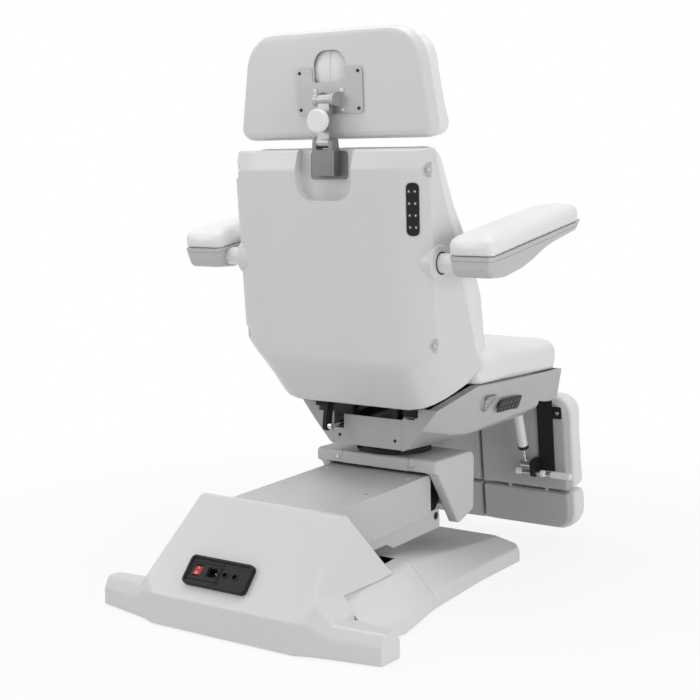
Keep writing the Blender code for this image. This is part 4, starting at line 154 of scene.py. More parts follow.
def pick_edges(piece, wanted):
    """Selects, in edit mode, the sharp edges that the test wants. It gets an edge's middle,
    its direction and the normals of its two faces."""
    bpy.ops.object.mode_set(mode="EDIT")
    bpy.ops.mesh.select_mode(type="EDGE")
    bpy.ops.mesh.select_all(action="DESELECT")
    bpy.ops.object.mode_set(mode="OBJECT")
    mesh = piece.data
    sides = {}
    for face in mesh.polygons:
        for key in face.edge_keys:
            sides.setdefault(key, []).append(face.normal)
    for edge in mesh.edges:
        normals = sides.get(edge.key, ())
        if len(normals) != 2 or normals[0].angle(normals[1], 0.0) < SHARP:
            continue
        a, b = (mesh.vertices[i].co for i in edge.vertices)
        edge.select = bool(wanted((a + b) / 2, (b - a).normalized(), normals))
    bpy.ops.object.mode_set(mode="EDIT")


def even(piece, smooth=38):
    """Smooth curves and level flats."""
    pick(piece)
    bpy.ops.object.shade_smooth_by_angle(angle=math.radians(smooth))
    level = piece.modifiers.new("level", "WEIGHTED_NORMAL")
    level.keep_sharp = True
    level.weight = 80
    bpy.ops.object.modifier_apply(modifier="level")


def broken(piece, width, steps=2):
    """Breaks the sharp edges of a piece."""
    pick(piece)
    soften = piece.modifiers.new("edges", "BEVEL")
    soften.width = width
    soften.segments = steps
    soften.limit_method = "ANGLE"
    soften.angle_limit = BROKEN_ABOVE
    bpy.ops.object.modifier_apply(modifier="edges")


def merged(name):
    """A copy of a CAD node with its split points joined, left in edit mode."""
    piece = bpy.data.objects.new("finished_" + name, frame["nodes"][name].data.copy())
    bpy.context.scene.collection.objects.link(piece)
    pick(piece)
    if piece.data.has_custom_normals:
        bpy.ops.mesh.customdata_custom_splitnormals_clear()
    bpy.ops.object.mode_set(mode="EDIT")
    bpy.ops.mesh.select_all(action="SELECT")
    bpy.ops.mesh.remove_doubles(threshold=SAME_POINT)
    return piece


def dressed(name, mat, edge, steps=2, smooth=38, rounds=(), work=None):
    """A CAD node's copy in its material, with whole faces and broken edges, riding on its
    body. Work is done on it first. Rounds are (width, test) pairs of edges that then get a
    wider round, as far as their neighbours leave room. An edge of 0 breaks none."""
    piece = merged(name)
    bpy.ops.mesh.dissolve_limited(angle_limit=SAME_FACE)
    bpy.ops.object.mode_set(mode="OBJECT")
    if work:
        work(piece)
    for width, wanted in rounds:
        pick_edges(piece, wanted)
        bpy.ops.mesh.bevel(offset=width, segments=4, affect="EDGES", clamp_overlap=True)
        bpy.ops.object.mode_set(mode="OBJECT")
    if edge:
        broken(piece, edge, steps)
    even(piece, smooth)
    piece.data.materials.clear()
    piece.data.materials.append(mat)
    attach(piece, frame["nodes"][name]["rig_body"])
    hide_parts(name)
    return piece


def finish(name, colour, shade, rough, patch, grain, bump, metal=0, gleam=0.5):
    """A surface with broad changes of colour and gloss, a few rubbed specks and a fine grain.
    Patch and grain are how many of them go to a metre."""
    mat = bpy.data.materials.new(name)
    mat.use_nodes = True
    tree = mat.node_tree
    skin = tree.nodes["Principled BSDF"]
    skin.inputs["Metallic"].default_value = metal
    skin.inputs["Specular IOR Level"].default_value = gleam
    place = tree.nodes.new("ShaderNodeTexCoord")
    broad = tree.nodes.new("ShaderNodeTexNoise")
    broad.inputs["Scale"].default_value = patch
    broad.inputs["Detail"].default_value = 4
    tint = tree.nodes.new("ShaderNodeMix")
    tint.data_type = "RGBA"
    tint.inputs["A"].default_value = (*colour, 1)
    tint.inputs["B"].default_value = (*shade, 1)
    gloss = tree.nodes.new("ShaderNodeMapRange")
    gloss.inputs["To Min"].default_value = rough[0]
    gloss.inputs["To Max"].default_value = rough[1]
    rubs = tree.nodes.new("ShaderNodeTexNoise")
    rubs.inputs["Scale"].default_value = patch * 14
    rubs.inputs["Detail"].default_value = 6
    rubs.inputs["Roughness"].default_value = 0.7
    specks = tree.nodes.new("ShaderNodeMapRange")
    specks.inputs["From Min"].default_value = 0.66
    specks.inputs["From Max"].default_value = 0.78
    specks.inputs["To Max"].default_value = 0.55
    worn = tree.nodes.new("ShaderNodeMix")
    worn.data_type = "RGBA"
    worn.inputs["B"].default_value = (*[0.82 * c for c in shade], 1)
    fine = tree.nodes.new("ShaderNodeTexNoise")
    fine.inputs["Scale"].default_value = grain
    fine.inputs["Detail"].default_value = 2
    relief = tree.nodes.new("ShaderNodeBump")
    relief.inputs["Strength"].default_value = bump
    relief.inputs["Distance"].default_value = 0.0006
    tree.links.new(place.outputs["Object"], broad.inputs["Vector"])
    tree.links.new(place.outputs["Object"], rubs.inputs["Vector"])
    tree.links.new(place.outputs["Object"], fine.inputs["Vector"])
    tree.links.new(broad.outputs["Fac"], tint.inputs["Factor"])
    tree.links.new(rubs.outputs["Fac"], specks.inputs["Value"])
    tree.links.new(specks.outputs["Result"], worn.inputs["Factor"])
    tree.links.new(tint.outputs["Result"], worn.inputs["A"])
    tree.links.new(worn.outputs["Result"], skin.inputs["Base Color"])
    tree.links.new(broad.outputs["Fac"], gloss.inputs["Value"])
    tree.links.new(gloss.outputs["Result"], skin.inputs["Roughness"])
    tree.links.new(fine.outputs["Fac"], relief.inputs["Height"])
    tree.links.new(relief.outputs["Normal"], skin.inputs["Normal"])
    return mat


powder_coat = finish("grey_powder_coat", (0.26, 0.26, 0.27), (0.21, 0.21, 0.22),
                     (0.45, 0.6), 8, 1400, 0.3)
dressed("base_frame", powder_coat, 0.0008)

# The base covers: two vacuum-formed shells of light grey plastic over the floor frame,
# butted under the lift arm and screwed down from below.
light_grey = finish("light_grey_plastic", (0.79, 0.785, 0.78), (0.75, 0.745, 0.74),
                    (0.42, 0.52), 5, 1800, 0.10)
for name in ("base_cover_front", "base_cover_rear"):
    dressed(name, light_grey, 0.0025, 3, 50)

# The rear cover: a white vacuum-formed hood over the arm's root, with two side wings that
# spread its foot. Its outer bends are rounded like those of a formed sheet.
shell_white = finish("white_formed_shell", (0.73, 0.728, 0.725), (0.70, 0.698, 0.695),
                     (0.27, 0.36), 5, 420, 0.03)


def hood_edge(middle, along, normals):
    """The hood's outer bends, clear of the floor and of the inlet panel."""
    return abs(middle.x) > 0.10 and middle.z > 0.02 and all(n.y > -0.35 for n in normals)


dressed("rear_cover", shell_white, 0.002, 3, 62, [(0.018, hood_edge)])

# The inlet panel: a black moulded plate with a raised rim, snapped into the hood's rear face.
# It holds a framed mains inlet with three blades, a red rocker switch and two round sockets.
FACE_UP = Vector((0, -0.6466, 0.7628))
FACE_OUT = Vector((0, 0.7628, 0.6466))
FACE_MID = Vector((0.044, 0.6909, 0.1325))
INLET_X = 0.018
ROCKER_X = 0.062
FORWARD = (0, -1, 0)
ALIGNED = 0.9

black = finish("black_moulded_nylon", (0.012, 0.012, 0.0125), (0.018, 0.018, 0.0185),
               (0.4, 0.55), 20, 1500, 0.15, gleam=0.22)
dressed("inlet_panel", black, 0.0012, 3)
dressed("power_inlet", black, 0.0005)
rocker_red = finish("red_rocker", (0.50, 0.012, 0.015), (0.43, 0.010, 0.012),
                    (0.2, 0.3), 30, 900, 0.02)
dressed("power_rocker", rocker_red, 0.0008, 3)


def touch(name, start, toward):
    """Where a straight line first meets a CAD node, and the normal there."""
    mesh = frame["nodes"][name].data
    faces = BVHTree.FromPolygons([v.co for v in mesh.vertices],
                                 [p.vertices for p in mesh.polygons])
    place, normal, _, _ = faces.ray_cast(Vector(start), Vector(toward).normalized())
    if place is None:
        raise ValueError("nothing of " + name + " there")
    return place, normal


def pick_faces(piece, wanted):
    """Selects, in edit mode, the faces that the test wants."""
    bpy.ops.object.mode_set(mode="EDIT")
    bpy.ops.mesh.select_mode(type="FACE")
    bpy.ops.mesh.select_all(action="DESELECT")
    bpy.ops.object.mode_set(mode="OBJECT")
    for face in piece.data.polygons:
        face.select = bool(wanted(face))
    bpy.ops.object.mode_set(mode="EDIT")


def fresh(name):
    """The primitive just added, named, with its place and size put into its mesh."""
    piece = bpy.context.object
    piece.name = name
    bpy.ops.object.transform_apply(location=True, rotation=True, scale=True)
    return piece


def turned(name, radius, height, recess, sides=20):
    """A turned head standing on the origin with a broken rim. Recess is the share of the
    radius that a drive takes in its top; without one the top is slightly raised."""
    rim = 0.3 * height
    bpy.ops.mesh.primitive_cylinder_add(vertices=sides, radius=radius, depth=height,
                                        location=(0, 0, height / 2))
    head = fresh(name)
    pick_faces(head, lambda face: face.normal.z > ALIGNED)
    bpy.ops.mesh.bevel(offset=rim, segments=3, affect="EDGES")
    bpy.ops.object.mode_set(mode="OBJECT")
    top = max(v.co.z for v in head.data.vertices)
    pick_faces(head, lambda face: face.center.z > top - 0.00001)
    if recess:
        down = (0, 0, -0.55 * height)
        bpy.ops.mesh.inset(thickness=radius * (1 - recess) - rim)
        bpy.ops.mesh.extrude_region_move(TRANSFORM_OT_translate={"value": down})
    else:
        bpy.ops.mesh.inset(thickness=0.35 * radius)
        bpy.ops.transform.translate(value=(0, 0, 0.08 * height))
    bpy.ops.object.mode_set(mode="OBJECT")
    even(head, 40)
    return head


def seated(model, name, place, out, mat, node, up=(0, 0, 1)):
    """Sets a copy of a model that stands on the origin on a place, facing out, and rides it
    on a node's body."""
    piece = bpy.data.objects.new(name, model.data.copy())
    bpy.context.scene.collection.objects.link(piece)
    out = Vector(out).normalized()
    side = Vector(up).cross(out).normalized()
    turn = Matrix((side, out.cross(side), out)).transposed().to_4x4()
    piece.data.transform(Matrix.Translation(place) @ turn)
    piece.data.materials.clear()
    piece.data.materials.append(mat)
    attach(piece, frame["nodes"][node]["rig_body"])


def let_in(model, name, node, start, mat, toward=FORWARD, sink=0.0003, up=(0, 0, 1)):
    """Seats a model where a straight line first meets a node, sunk a little into its face."""
    place, normal = touch(node, start, toward)
    seated(model, name, place - normal * sink, normal, mat, node, up)
    return place, normal


def above_panel(across, rise):
    """A place clear of the inlet panel, over a point of its face."""
    return FACE_MID + Vector((across, 0, 0)) + FACE_UP * rise + FACE_OUT * 0.05


def on_panel(across, probe, rise):
    """A place at mid-height on the panel, a hair inside its face. The face's level is felt
    at a probe clear of the openings."""
    felt = touch("inlet_panel", above_panel(probe, rise), -FACE_OUT)[0]
    level = (felt - FACE_MID).dot(FACE_OUT)
    return FACE_MID + Vector((across, 0, 0)) + FACE_OUT * (level - 0.0002)


steel_dark = finish("black_oxide_steel", (0.05, 0.05, 0.052), (0.035, 0.035, 0.037),
                    (0.3, 0.45), 60, 2500, 0.1, 1)
steel_bright = finish("bright_zinc_steel", (0.62, 0.62, 0.62), (0.55, 0.55, 0.56),
                      (0.16, 0.28), 60, 2500, 0.06, 1)
brass = finish("nickelled_brass", (0.62, 0.56, 0.42), (0.55, 0.49, 0.36),
               (0.2, 0.3), 60, 2500, 0.05, 1)

blade = turned("blade", 0.0011, 0.009, 0)
blades = ((-0.0055, -0.0022), (0.0055, -0.0022), (0.0, 0.0032))
for k, (across, rise) in enumerate(blades, 1):
    let_in(blade, f"inlet_blade_{k}", "power_inlet", above_panel(INLET_X + across, rise), brass,
           -FACE_OUT, 0.0002)


def opened(piece, width):
    """Opens a flat piece out to a ring or a frame of that width."""
    pick_faces(piece, lambda face: abs(face.normal.z) > ALIGNED)
    bpy.ops.mesh.inset(thickness=width)
    bpy.ops.mesh.bridge_edge_loops()
    bpy.ops.mesh.select_all(action="SELECT")
    bpy.ops.mesh.normals_make_consistent(inside=False)
    bpy.ops.object.mode_set(mode="OBJECT")


def ring(name, inner, outer, length, sides=40):
    """A flat ring standing on the origin, with its rims broken."""
    bpy.ops.mesh.primitive_cylinder_add(vertices=sides, radius=outer, depth=length,
                                        location=(0, 0, length / 2))
    band = fresh(name)
    opened(band, outer - inner)
    soften = band.modifiers.new("rims", "BEVEL")
    soften.width = 0.2 * min(length, outer - inner)
    soften.segments = 2
    bpy.ops.object.modifier_apply(modifier="rims")
    even(band, 40)
    return band


jack_rim = ring("jack_rim", 0.0062, 0.0096, 0.0018)
for k, across in enumerate((-0.021, -0.051), 1):
    seated(jack_rim, f"jack_rim_{k}", on_panel(across, across, 0.010), FACE_OUT, black,
           "inlet_panel")


def tablet(name, width, height, depth, corner, frame_width=0):
    """A thin plate standing on the origin with rounded corners and a broken rim. A frame's
    width opens it out to a frame."""
    bpy.ops.mesh.primitive_cube_add(size=1, location=(0, 0, depth / 2),
                                    scale=(width, height, depth))
    plate = fresh(name)
    pick_edges(plate, lambda middle, along, normals: abs(along.z) > ALIGNED)
    bpy.ops.mesh.bevel(offset=corner, segments=5, affect="EDGES")
    bpy.ops.object.mode_set(mode="OBJECT")
    if frame_width:
        opened(plate, frame_width)
    broken(plate, min(0.3 * depth, 0.4 * corner), 3)
    even(plate, 40)
    return plate


panel_rim = tablet("panel_rim", 0.189, 0.074, 0.0040, 0.012, 0.0065)
module_frame = tablet("module_frame", 0.090, 0.047, 0.0022, 0.004, 0.0035)
divider = tablet("divider", 0.0022, 0.060, 0.0018, 0.0008)
for model, name, across in ((panel_rim, "panel_rim", 0.0), (module_frame, "module_frame", 0.041),
                            (divider, "panel_divider", -0.008)):
    seated(model, name, on_panel(across, -0.036, 0.014), FACE_OUT, black, "inlet_panel", FACE_UP)

mark_white = finish("white_mark_print", (0.86, 0.86, 0.86), (0.82, 0.82, 0.82),
                    (0.4, 0.5), 80, 900, 0.02)
stroke = tablet("stroke", 0.0014, 0.0062, 0.0003, 0.0006)
circle = ring("circle", 0.0022, 0.0034, 0.0003, 28)
for model, name, rise in ((stroke, "rocker_mark_on", 0.007), (circle, "rocker_mark_off", -0.007)):
    let_in(model, name, "power_rocker", above_panel(ROCKER_X, rise), mark_white,
           -FACE_OUT, 0.00005, FACE_UP)

# The lift arm: two steel plates with ties, in a folded cover painted light grey. The lower
# link under it keeps the head level, and a spindle drive between them lifts the chair.
SIDES = ((-1, "right"), (1, "left"))
ABOVE = 0.6
COVER_SCREW_X = 0.128
COVER_SCREWS = ((0.135, "front"), (0.330, "rear"))

dark_coat = finish("black_powder_coat", (0.016, 0.016, 0.0165), (0.012, 0.012, 0.0125),
                   (0.45, 0.6), 9, 1500, 0.3, gleam=0.25)
dressed("lift_arm", dark_coat, 0.0008)
paint_grey = finish("light_grey_paint", (0.58, 0.58, 0.578), (0.545, 0.545, 0.543),
                    (0.34, 0.44), 6, 700, 0.05)
dressed("lower_link", paint_grey, 0.0008)
dressed("arm_cover", paint_grey, 0.003, 3, 45)
dressed("lift_actuator_body", dark_coat, 0.0008)
dressed("lift_actuator_rod", steel_bright, 0.0005)

cover_screw = turned("cover_screw", 0.0055, 0.0028, 0.42)
for side, label in SIDES:
    for along, part in COVER_SCREWS:
        let_in(cover_screw, f"arm_cover_screw_{part}_{label}", "arm_cover",
               (side * COVER_SCREW_X, along, ABOVE), steel_bright, (0, 0, -1), up=(0, 1, 0))

# The head: a steel box on the arm's two pins, closed by a top cover and two cheeks of
# painted plastic that meet in two seams. Each cheek has a screw in its rear lip.
BEHIND = 0.8
CHEEK_OUTER = 0.162
HEAD_SCREW_X = 0.119
HEAD_SCREW_Z = 0.318

dressed("head_frame", dark_coat, 0.0008)
head_grey = finish("light_grey_head_plastic", (0.62, 0.62, 0.615), (0.58, 0.58, 0.575),
                   (0.36, 0.46), 6, 1500, 0.07)
dressed("head_top_cover", head_grey, 0.003, 3, 45)


def celled(piece, size):
    """Rebuilds a piece from even cells."""
    cells = piece.modifiers.new("cells", "REMESH")
    cells.mode = "VOXEL"
    cells.voxel_size = size
    bpy.ops.object.modifier_apply(modifier="cells")


def calmed(piece, times, group):
    """Smooths the points of a vertex group."""
    calm = piece.modifiers.new("calm", "SMOOTH")
    calm.factor = 0.5
    calm.iterations = times
    calm.vertex_group = group
    bpy.ops.object.modifier_apply(modifier="calm")


def moulded(cheek):
    """Rounds the outer side of a cheek as a moulding tool does."""
    pick(cheek)
    celled(cheek, 0.0026)
    outer = [v.index for v in cheek.data.vertices if abs(v.co.x) > CHEEK_OUTER]
    cheek.vertex_groups.new(name="outer").add(outer, 1.0, "REPLACE")
    calmed(cheek, 36, "outer")


for side, label in SIDES:
    dressed("head_cheek_" + label, head_grey, 0, smooth=60, work=moulded)
    let_in(cover_screw, "head_screw_" + label, "head_cheek_" + label,
           (side * HEAD_SCREW_X, BEHIND, HEAD_SCREW_Z), steel_bright)

# The swivel: a turned steel plate on the head, with a black bearing ring under the seat.
# Only its rim shows between the head and the tub.
dressed("swivel_plate", black, 0.001)

# The seat frame and its drives: welded steel in black powder coat, with two spindle drives
# in black plastic housings. Little of it shows under the tub.
dressed("seat_frame", dark_coat, 0.0006)
for name in ("tilt_actuator", "back_actuator"):
    dressed(name + "_body", black, 0.0008)
for name in ("tilt_actuator", "back_actuator"):
    dressed(name + "_rod", steel_bright, 0.0005)

# The seat tub: a deep pale shell under the cushion, with a screwed panel at its rear, a
# keypad let into its right side and a wire hook beside it.
TUB_RIM_FOOT = 0.485
PANEL_SCREW_X = 0.088
PANEL_SCREW_Z = 0.386
SEAT_PAD_MID = (-0.175, 0.460)
SEAT_KEY_PITCH = (0.0215, 0.0150)


def tub_edge(middle, along, normals):
    """The tub's bends under its rim that don't run straight across."""
    return (all(n.z < 0.3 for n in normals) and middle.z < TUB_RIM_FOOT
            and abs(along.x) < ALIGNED)


tub_white = finish("white_tub_shell", (0.50, 0.497, 0.493), (0.47, 0.467, 0.463),
                   (0.27, 0.36), 5, 420, 0.03)
dressed("seat_shell", tub_white, 0.002, 3, 66, [(0.012, tub_edge)])
dressed("rear_panel", tub_white, 0.0012)
panel_screw = turned("tub_screw", 0.0042, 0.0022, 0.42)
for side, label in SIDES:
    let_in(panel_screw, "rear_panel_screw_" + label, "rear_panel",
           (side * PANEL_SCREW_X, BEHIND, PANEL_SCREW_Z), steel_dark)
# Painted reflection: the chrome is coloured darker than chrome, standing in for the dark
# surroundings it would reflect, so the wire shows against the tub.
hook_steel_painted_dark_reflection = finish("chromed_wire_darkened_for_reflection", (0.34, 0.34, 0.35), (0.28, 0.28, 0.29),
                    (0.14, 0.22), 60, 2500, 0.04, 1)
dressed("handset_hook", hook_steel_painted_dark_reflection, 0.0004)

key_black = finish("black_keypad_film", (0.008, 0.008, 0.0085), (0.012, 0.012, 0.0125),
                   (0.3, 0.4), 20, 600, 0.03, gleam=0.25)
key_grey = finish("dark_grey_key", (0.024, 0.024, 0.025), (0.018, 0.018, 0.019),
                  (0.4, 0.5), 40, 900, 0.04, gleam=0.3)
mark_grey = finish("grey_mark_print", (0.26, 0.26, 0.26), (0.22, 0.22, 0.22),
                   (0.4, 0.5), 80, 900, 0.02)
dressed("seat_keypad", key_black, 0.0010, 3)
key = turned("key", 0.0066, 0.0010, 0, 28)
arrow = turned("arrow", 0.0036, 0.0003, 0, 3)


def key_set(model, pad, k, start, toward, mark, upward):
    """A round key on a keypad, with a plain triangle that points up or down."""
    node = pad + "_keypad"
    place, normal = let_in(model, f"{pad}_key_{k}", node, start, key_grey, toward, 0.0001)
    up = (0, 0, 1 if upward else -1)
    seated(arrow, f"{pad}_key_arrow_{k}", place + normal * 0.00085, normal, mark, node, up)


for k in range(10):
    row, column = divmod(k, 5)
    start = (-0.5, SEAT_PAD_MID[0] + SEAT_KEY_PITCH[0] * (column - 2),
             SEAT_PAD_MID[1] + SEAT_KEY_PITCH[1] * (row - 0.5))
    key_set(key, "seat", k + 1, start, (1, 0, 0), mark_grey, row)

# The seat cushion: moulded foam in white synthetic leather, glued and stapled to a board
# on the tub. The cover is drawn tight over the crown without a seam.
HELD = 0.006
FILLING_STEPS = 20
SEAM_TURN = 0.62


def leather(name, colour, shade):
    """Synthetic leather with a pebbled grain, and a sewn seam from the cushion's own attributes,
    with painted shade darkening the colour along the seam's groove."""
    mat = bpy.data.materials.new(name)
    mat.use_nodes = True
    tree = mat.node_tree
    skin = tree.nodes["Principled BSDF"]
    skin.inputs["Specular IOR Level"].default_value = 0.42
    place = tree.nodes.new("ShaderNodeTexCoord")
    broad = tree.nodes.new("ShaderNodeTexNoise")
    broad.inputs["Scale"].default_value = 5
    broad.inputs["Detail"].default_value = 4
    tint = tree.nodes.new("ShaderNodeMix")
    tint.data_type = "RGBA"
    tint.inputs["A"].default_value = (*colour, 1)
    tint.inputs["B"].default_value = (*shade, 1)
    gloss = tree.nodes.new("ShaderNodeMapRange")
    gloss.inputs["To Min"].default_value = 0.40
    gloss.inputs["To Max"].default_value = 0.52
    pebble = tree.nodes.new("ShaderNodeTexVoronoi")
    pebble.inputs["Scale"].default_value = 620
    grain = tree.nodes.new("ShaderNodeBump")
    grain.inputs["Strength"].default_value = 0.12
    grain.inputs["Distance"].default_value = 0.0004
    seam = tree.nodes.new("ShaderNodeAttribute")
    seam.attribute_name = "seam"
    apart = tree.nodes.new("ShaderNodeMath")
    apart.operation = "ABSOLUTE"
    # Near the seam: the mask for the groove's bump and for the painted shade along it.
    seam_groove_and_painted_shade = tree.nodes.new("ShaderNodeMapRange")
    seam_groove_and_painted_shade.interpolation_type = "SMOOTHSTEP"
    seam_groove_and_painted_shade.inputs["From Max"].default_value = 0.0016
    seam_groove_and_painted_shade.inputs["To Min"].default_value = 1
    seam_groove_and_painted_shade.inputs["To Max"].default_value = 0
    # Painted shade in the seam's groove: a darker copy of the leather's colour where the groove
    # would be shaded.
    painted_seam_shade = tree.nodes.new("ShaderNodeMix")
    painted_seam_shade.data_type = "RGBA"
    painted_seam_shade.inputs["B"].default_value = (*[0.62 * c for c in shade], 1)
    # How strong the painted seam shade is at the seam's middle.
    part = tree.nodes.new("ShaderNodeMath")
    part.operation = "MULTIPLY"
    part.inputs[1].default_value = 0.55
    groove = tree.nodes.new("ShaderNodeBump")
    groove.invert = True
    groove.inputs["Strength"].default_value = 0.7
    groove.inputs["Distance"].default_value = 0.0012
    run = tree.nodes.new("ShaderNodeAttribute")
    run.attribute_name = "run"
    pitch = tree.nodes.new("ShaderNodeMath")
    pitch.operation = "MULTIPLY"
    pitch.inputs[1].default_value = 2 * math.pi / 0.0055
    wave = tree.nodes.new("ShaderNodeMath")
    wave.operation = "SINE"
    thread = tree.nodes.new("ShaderNodeMapRange")
    thread.inputs["From Min"].default_value = -0.2
    thread.inputs["From Max"].default_value = 0.2
    beside = tree.nodes.new("ShaderNodeMath")
    beside.operation = "COMPARE"
    beside.inputs[1].default_value = -0.0055
    beside.inputs[2].default_value = 0.0006
    stitch = tree.nodes.new("ShaderNodeMath")
    stitch.operation = "MULTIPLY"
    sewn = tree.nodes.new("ShaderNodeBump")
    sewn.inputs["Strength"].default_value = 0.5
    sewn.inputs["Distance"].default_value = 0.0005
    link = tree.links.new
    link(place.outputs["Object"], broad.inputs["Vector"])
    link(place.outputs["Object"], pebble.inputs["Vector"])
    link(broad.outputs["Fac"], tint.inputs["Factor"])
    link(broad.outputs["Fac"], gloss.inputs["Value"])
    link(gloss.outputs["Result"], skin.inputs["Roughness"])
    link(seam.outputs["Fac"], apart.inputs[0])
    link(apart.outputs[0], seam_groove_and_painted_shade.inputs["Value"])
    link(seam_groove_and_painted_shade.outputs["Result"], part.inputs[0])
    link(part.outputs[0], painted_seam_shade.inputs["Factor"])
    link(tint.outputs["Result"], painted_seam_shade.inputs["A"])
    link(painted_seam_shade.outputs["Result"], skin.inputs["Base Color"])
    link(run.outputs["Fac"], pitch.inputs[0])
    link(pitch.outputs[0], wave.inputs[0])
    link(wave.outputs[0], thread.inputs["Value"])
    link(seam.outputs["Fac"], beside.inputs[0])
    link(beside.outputs[0], stitch.inputs[0])
    link(thread.outputs["Result"], stitch.inputs[1])
    link(seam_groove_and_painted_shade.outputs["Result"], groove.inputs["Height"])
    link(stitch.outputs[0], sewn.inputs["Height"])
    link(groove.outputs["Normal"], sewn.inputs["Normal"])
    link(pebble.outputs["Distance"], grain.inputs["Height"])
    link(sewn.outputs["Normal"], grain.inputs["Normal"])
    link(grain.outputs["Normal"], skin.inputs["Normal"])
    return mat


def fitted(pad, name):
    """Puts a finished cushion on its node's body, in the node's place."""
    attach(pad, frame["nodes"][name]["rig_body"])
    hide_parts(name)


def filled(pad, most):
    """Blows a cushion up by its filling, each point by no more than the most."""
    rest = [v.co.copy() for v in pad.data.vertices]
    filling = pad.modifiers.new("filling", "CLOTH")
    cloth = filling.settings
    cloth.quality = 5
    cloth.mass = 0.4
    cloth.tension_stiffness = 18
    cloth.compression_stiffness = 18
    cloth.shear_stiffness = 8
    cloth.bending_stiffness = 2.5
    cloth.use_pressure = True
    cloth.uniform_pressure_force = 4
    cloth.vertex_group_mass = "held"
    cloth.effector_weights.gravity = 0
    filling.collision_settings.use_collision = False
    filling.point_cache.frame_start = 1
    filling.point_cache.frame_end = FILLING_STEPS
    for step in range(1, FILLING_STEPS + 1):
        bpy.context.scene.frame_set(step)
    bpy.ops.object.modifier_apply(modifier="filling")
    bpy.context.scene.frame_set(1)
    for v, start in zip(pad.data.vertices, rest):
        move = v.co - start
        if move.length > most:
            v.co = start + move * (most / move.length)


def stuffed(name, out, along, voxel, most, edge, soft=14):
    """A CAD cushion filled out as sewn leather over foam: held at its foot, blown up by its
    filling, smoothed, with the seam's distance and run kept for the leather. An edge of 0
    leaves the cover without a seam."""
    pad = merged(name)
    bpy.ops.object.mode_set(mode="OBJECT")
    celled(pad, voxel)
    out = Vector(out).normalized()
    along = Vector(along).normalized()
    across = along.cross(out)
    mesh = pad.data
    foot = min(v.co.dot(out) for v in mesh.vertices)
    held = [v.index for v in mesh.vertices if v.co.dot(out) < foot + HELD]
    free = [v.index for v in mesh.vertices if v.co.dot(out) >= foot + HELD]
    pad.vertex_groups.new(name="held").add(held, 1.0, "REPLACE")
    pad.vertex_groups.new(name="free").add(free, 1.0, "REPLACE")
    calmed(pad, soft, "free")
    filled(pad, most)
    calmed(pad, 6, "free")
    finer = pad.modifiers.new("finer", "SUBSURF")
    finer.levels = 1
    finer.render_levels = 1
    bpy.ops.object.modifier_apply(modifier="finer")
    bpy.ops.object.shade_smooth()
    mesh = pad.data
    u = [v.co.dot(across) for v in mesh.vertices]
    w = [v.co.dot(along) for v in mesh.vertices]
    mid_u, half_u = (max(u) + min(u)) / 2, (max(u) - min(u)) / 2
    mid_w, half_w = (max(w) + min(w)) / 2, (max(w) - min(w)) / 2
    seam = []
    run = []
    for v, a, b in zip(mesh.vertices, u, w):
        lean = math.acos(max(-1.0, min(1.0, v.normal.dot(out))))
        seam.append(edge * (lean - math.acos(SEAM_TURN)) if edge else 1.0)
        run.append(b if abs((a - mid_u) / half_u) > abs((b - mid_w) / half_w) else a)
    mesh.attributes.new("seam", "FLOAT", "POINT").data.foreach_set("value", seam)
    mesh.attributes.new("run", "FLOAT", "POINT").data.foreach_set("value", run)
    mesh.materials.clear()
    mesh.materials.append(white_leather)
    fitted(pad, name)
    return pad


white_leather = leather("white_synthetic_leather", (0.87, 0.865, 0.85), (0.84, 0.835, 0.82))
stuffed("seat_cushion", (0, 0, 1), (0, 1, 0), 0.007, 0.005, 0, soft=4)

# The back frame: a torque tube on the recline axis with two side plates and a drive lever,
# welded steel in black powder coat, inside the shell.
dressed("back_frame", dark_coat, 0.0006)

# The back shell: a white formed shell with bent sides, a recess for the headrest's neck and
# screw pockets at its corners. A second keypad is let into its rear face.
POCKET_X = 0.2855
POCKETS = ((0.6604, "low"), (1.0854, "high"))
BACK_PAD_MID = (-0.2530, 0.9912)
BACK_KEY_PITCH = (0.0145, 0.0285)


def back_edge(middle, along, normals):
    """The upright outer edges of the back's shell."""
    return abs(middle.x) > 0.292 and all(n.y > -0.3 for n in normals) and middle.z > 0.50


dressed("back_shell", shell_white, 0.002, 3, 50, [(0.007, back_edge)])
pocket_screw = turned("pocket_screw", 0.0065, 0.0030, 0.45)
for side, label in SIDES:
    for height, part in POCKETS:
        let_in(pocket_screw, f"back_screw_{part}_{label}", "back_shell",
               (side * POCKET_X, BEHIND, height), steel_bright)

dressed("back_keypad", key_black, 0.0010, 3)
small_key = turned("small_key", 0.0058, 0.0010, 0, 28)
for k in range(8):
    row, column = divmod(k, 2)
    start = (BACK_PAD_MID[0] + BACK_KEY_PITCH[0] * (column - 0.5), BEHIND,
             BACK_PAD_MID[1] + BACK_KEY_PITCH[1] * (row - 1.5))
    key_set(small_key, "back", k + 1, start, FORWARD, mark_white, column)

# The back cushion: moulded foam in the same white leather on a board, thickest at the
# loins, clipped to the shell's front and sewn round its front edge.
BACK_RISE = (0, 0.3846, 0.9231)
BACK_FRONT = (0, -0.9231, 0.3846)
stuffed("back_cushion", BACK_FRONT, BACK_RISE, 0.007, 0.007, 0.030)

# The headrest's neck: a cast bracket in the back's recess, a link with two hinge barrels
# and a plate under the headrest, all in silver-grey paint, with a white clamp knob.
CASTING_REAR = 0.337
CASTING_LAP = 0.002
CASTING_Z = 1.1035
KNOB_Z = 1.2059

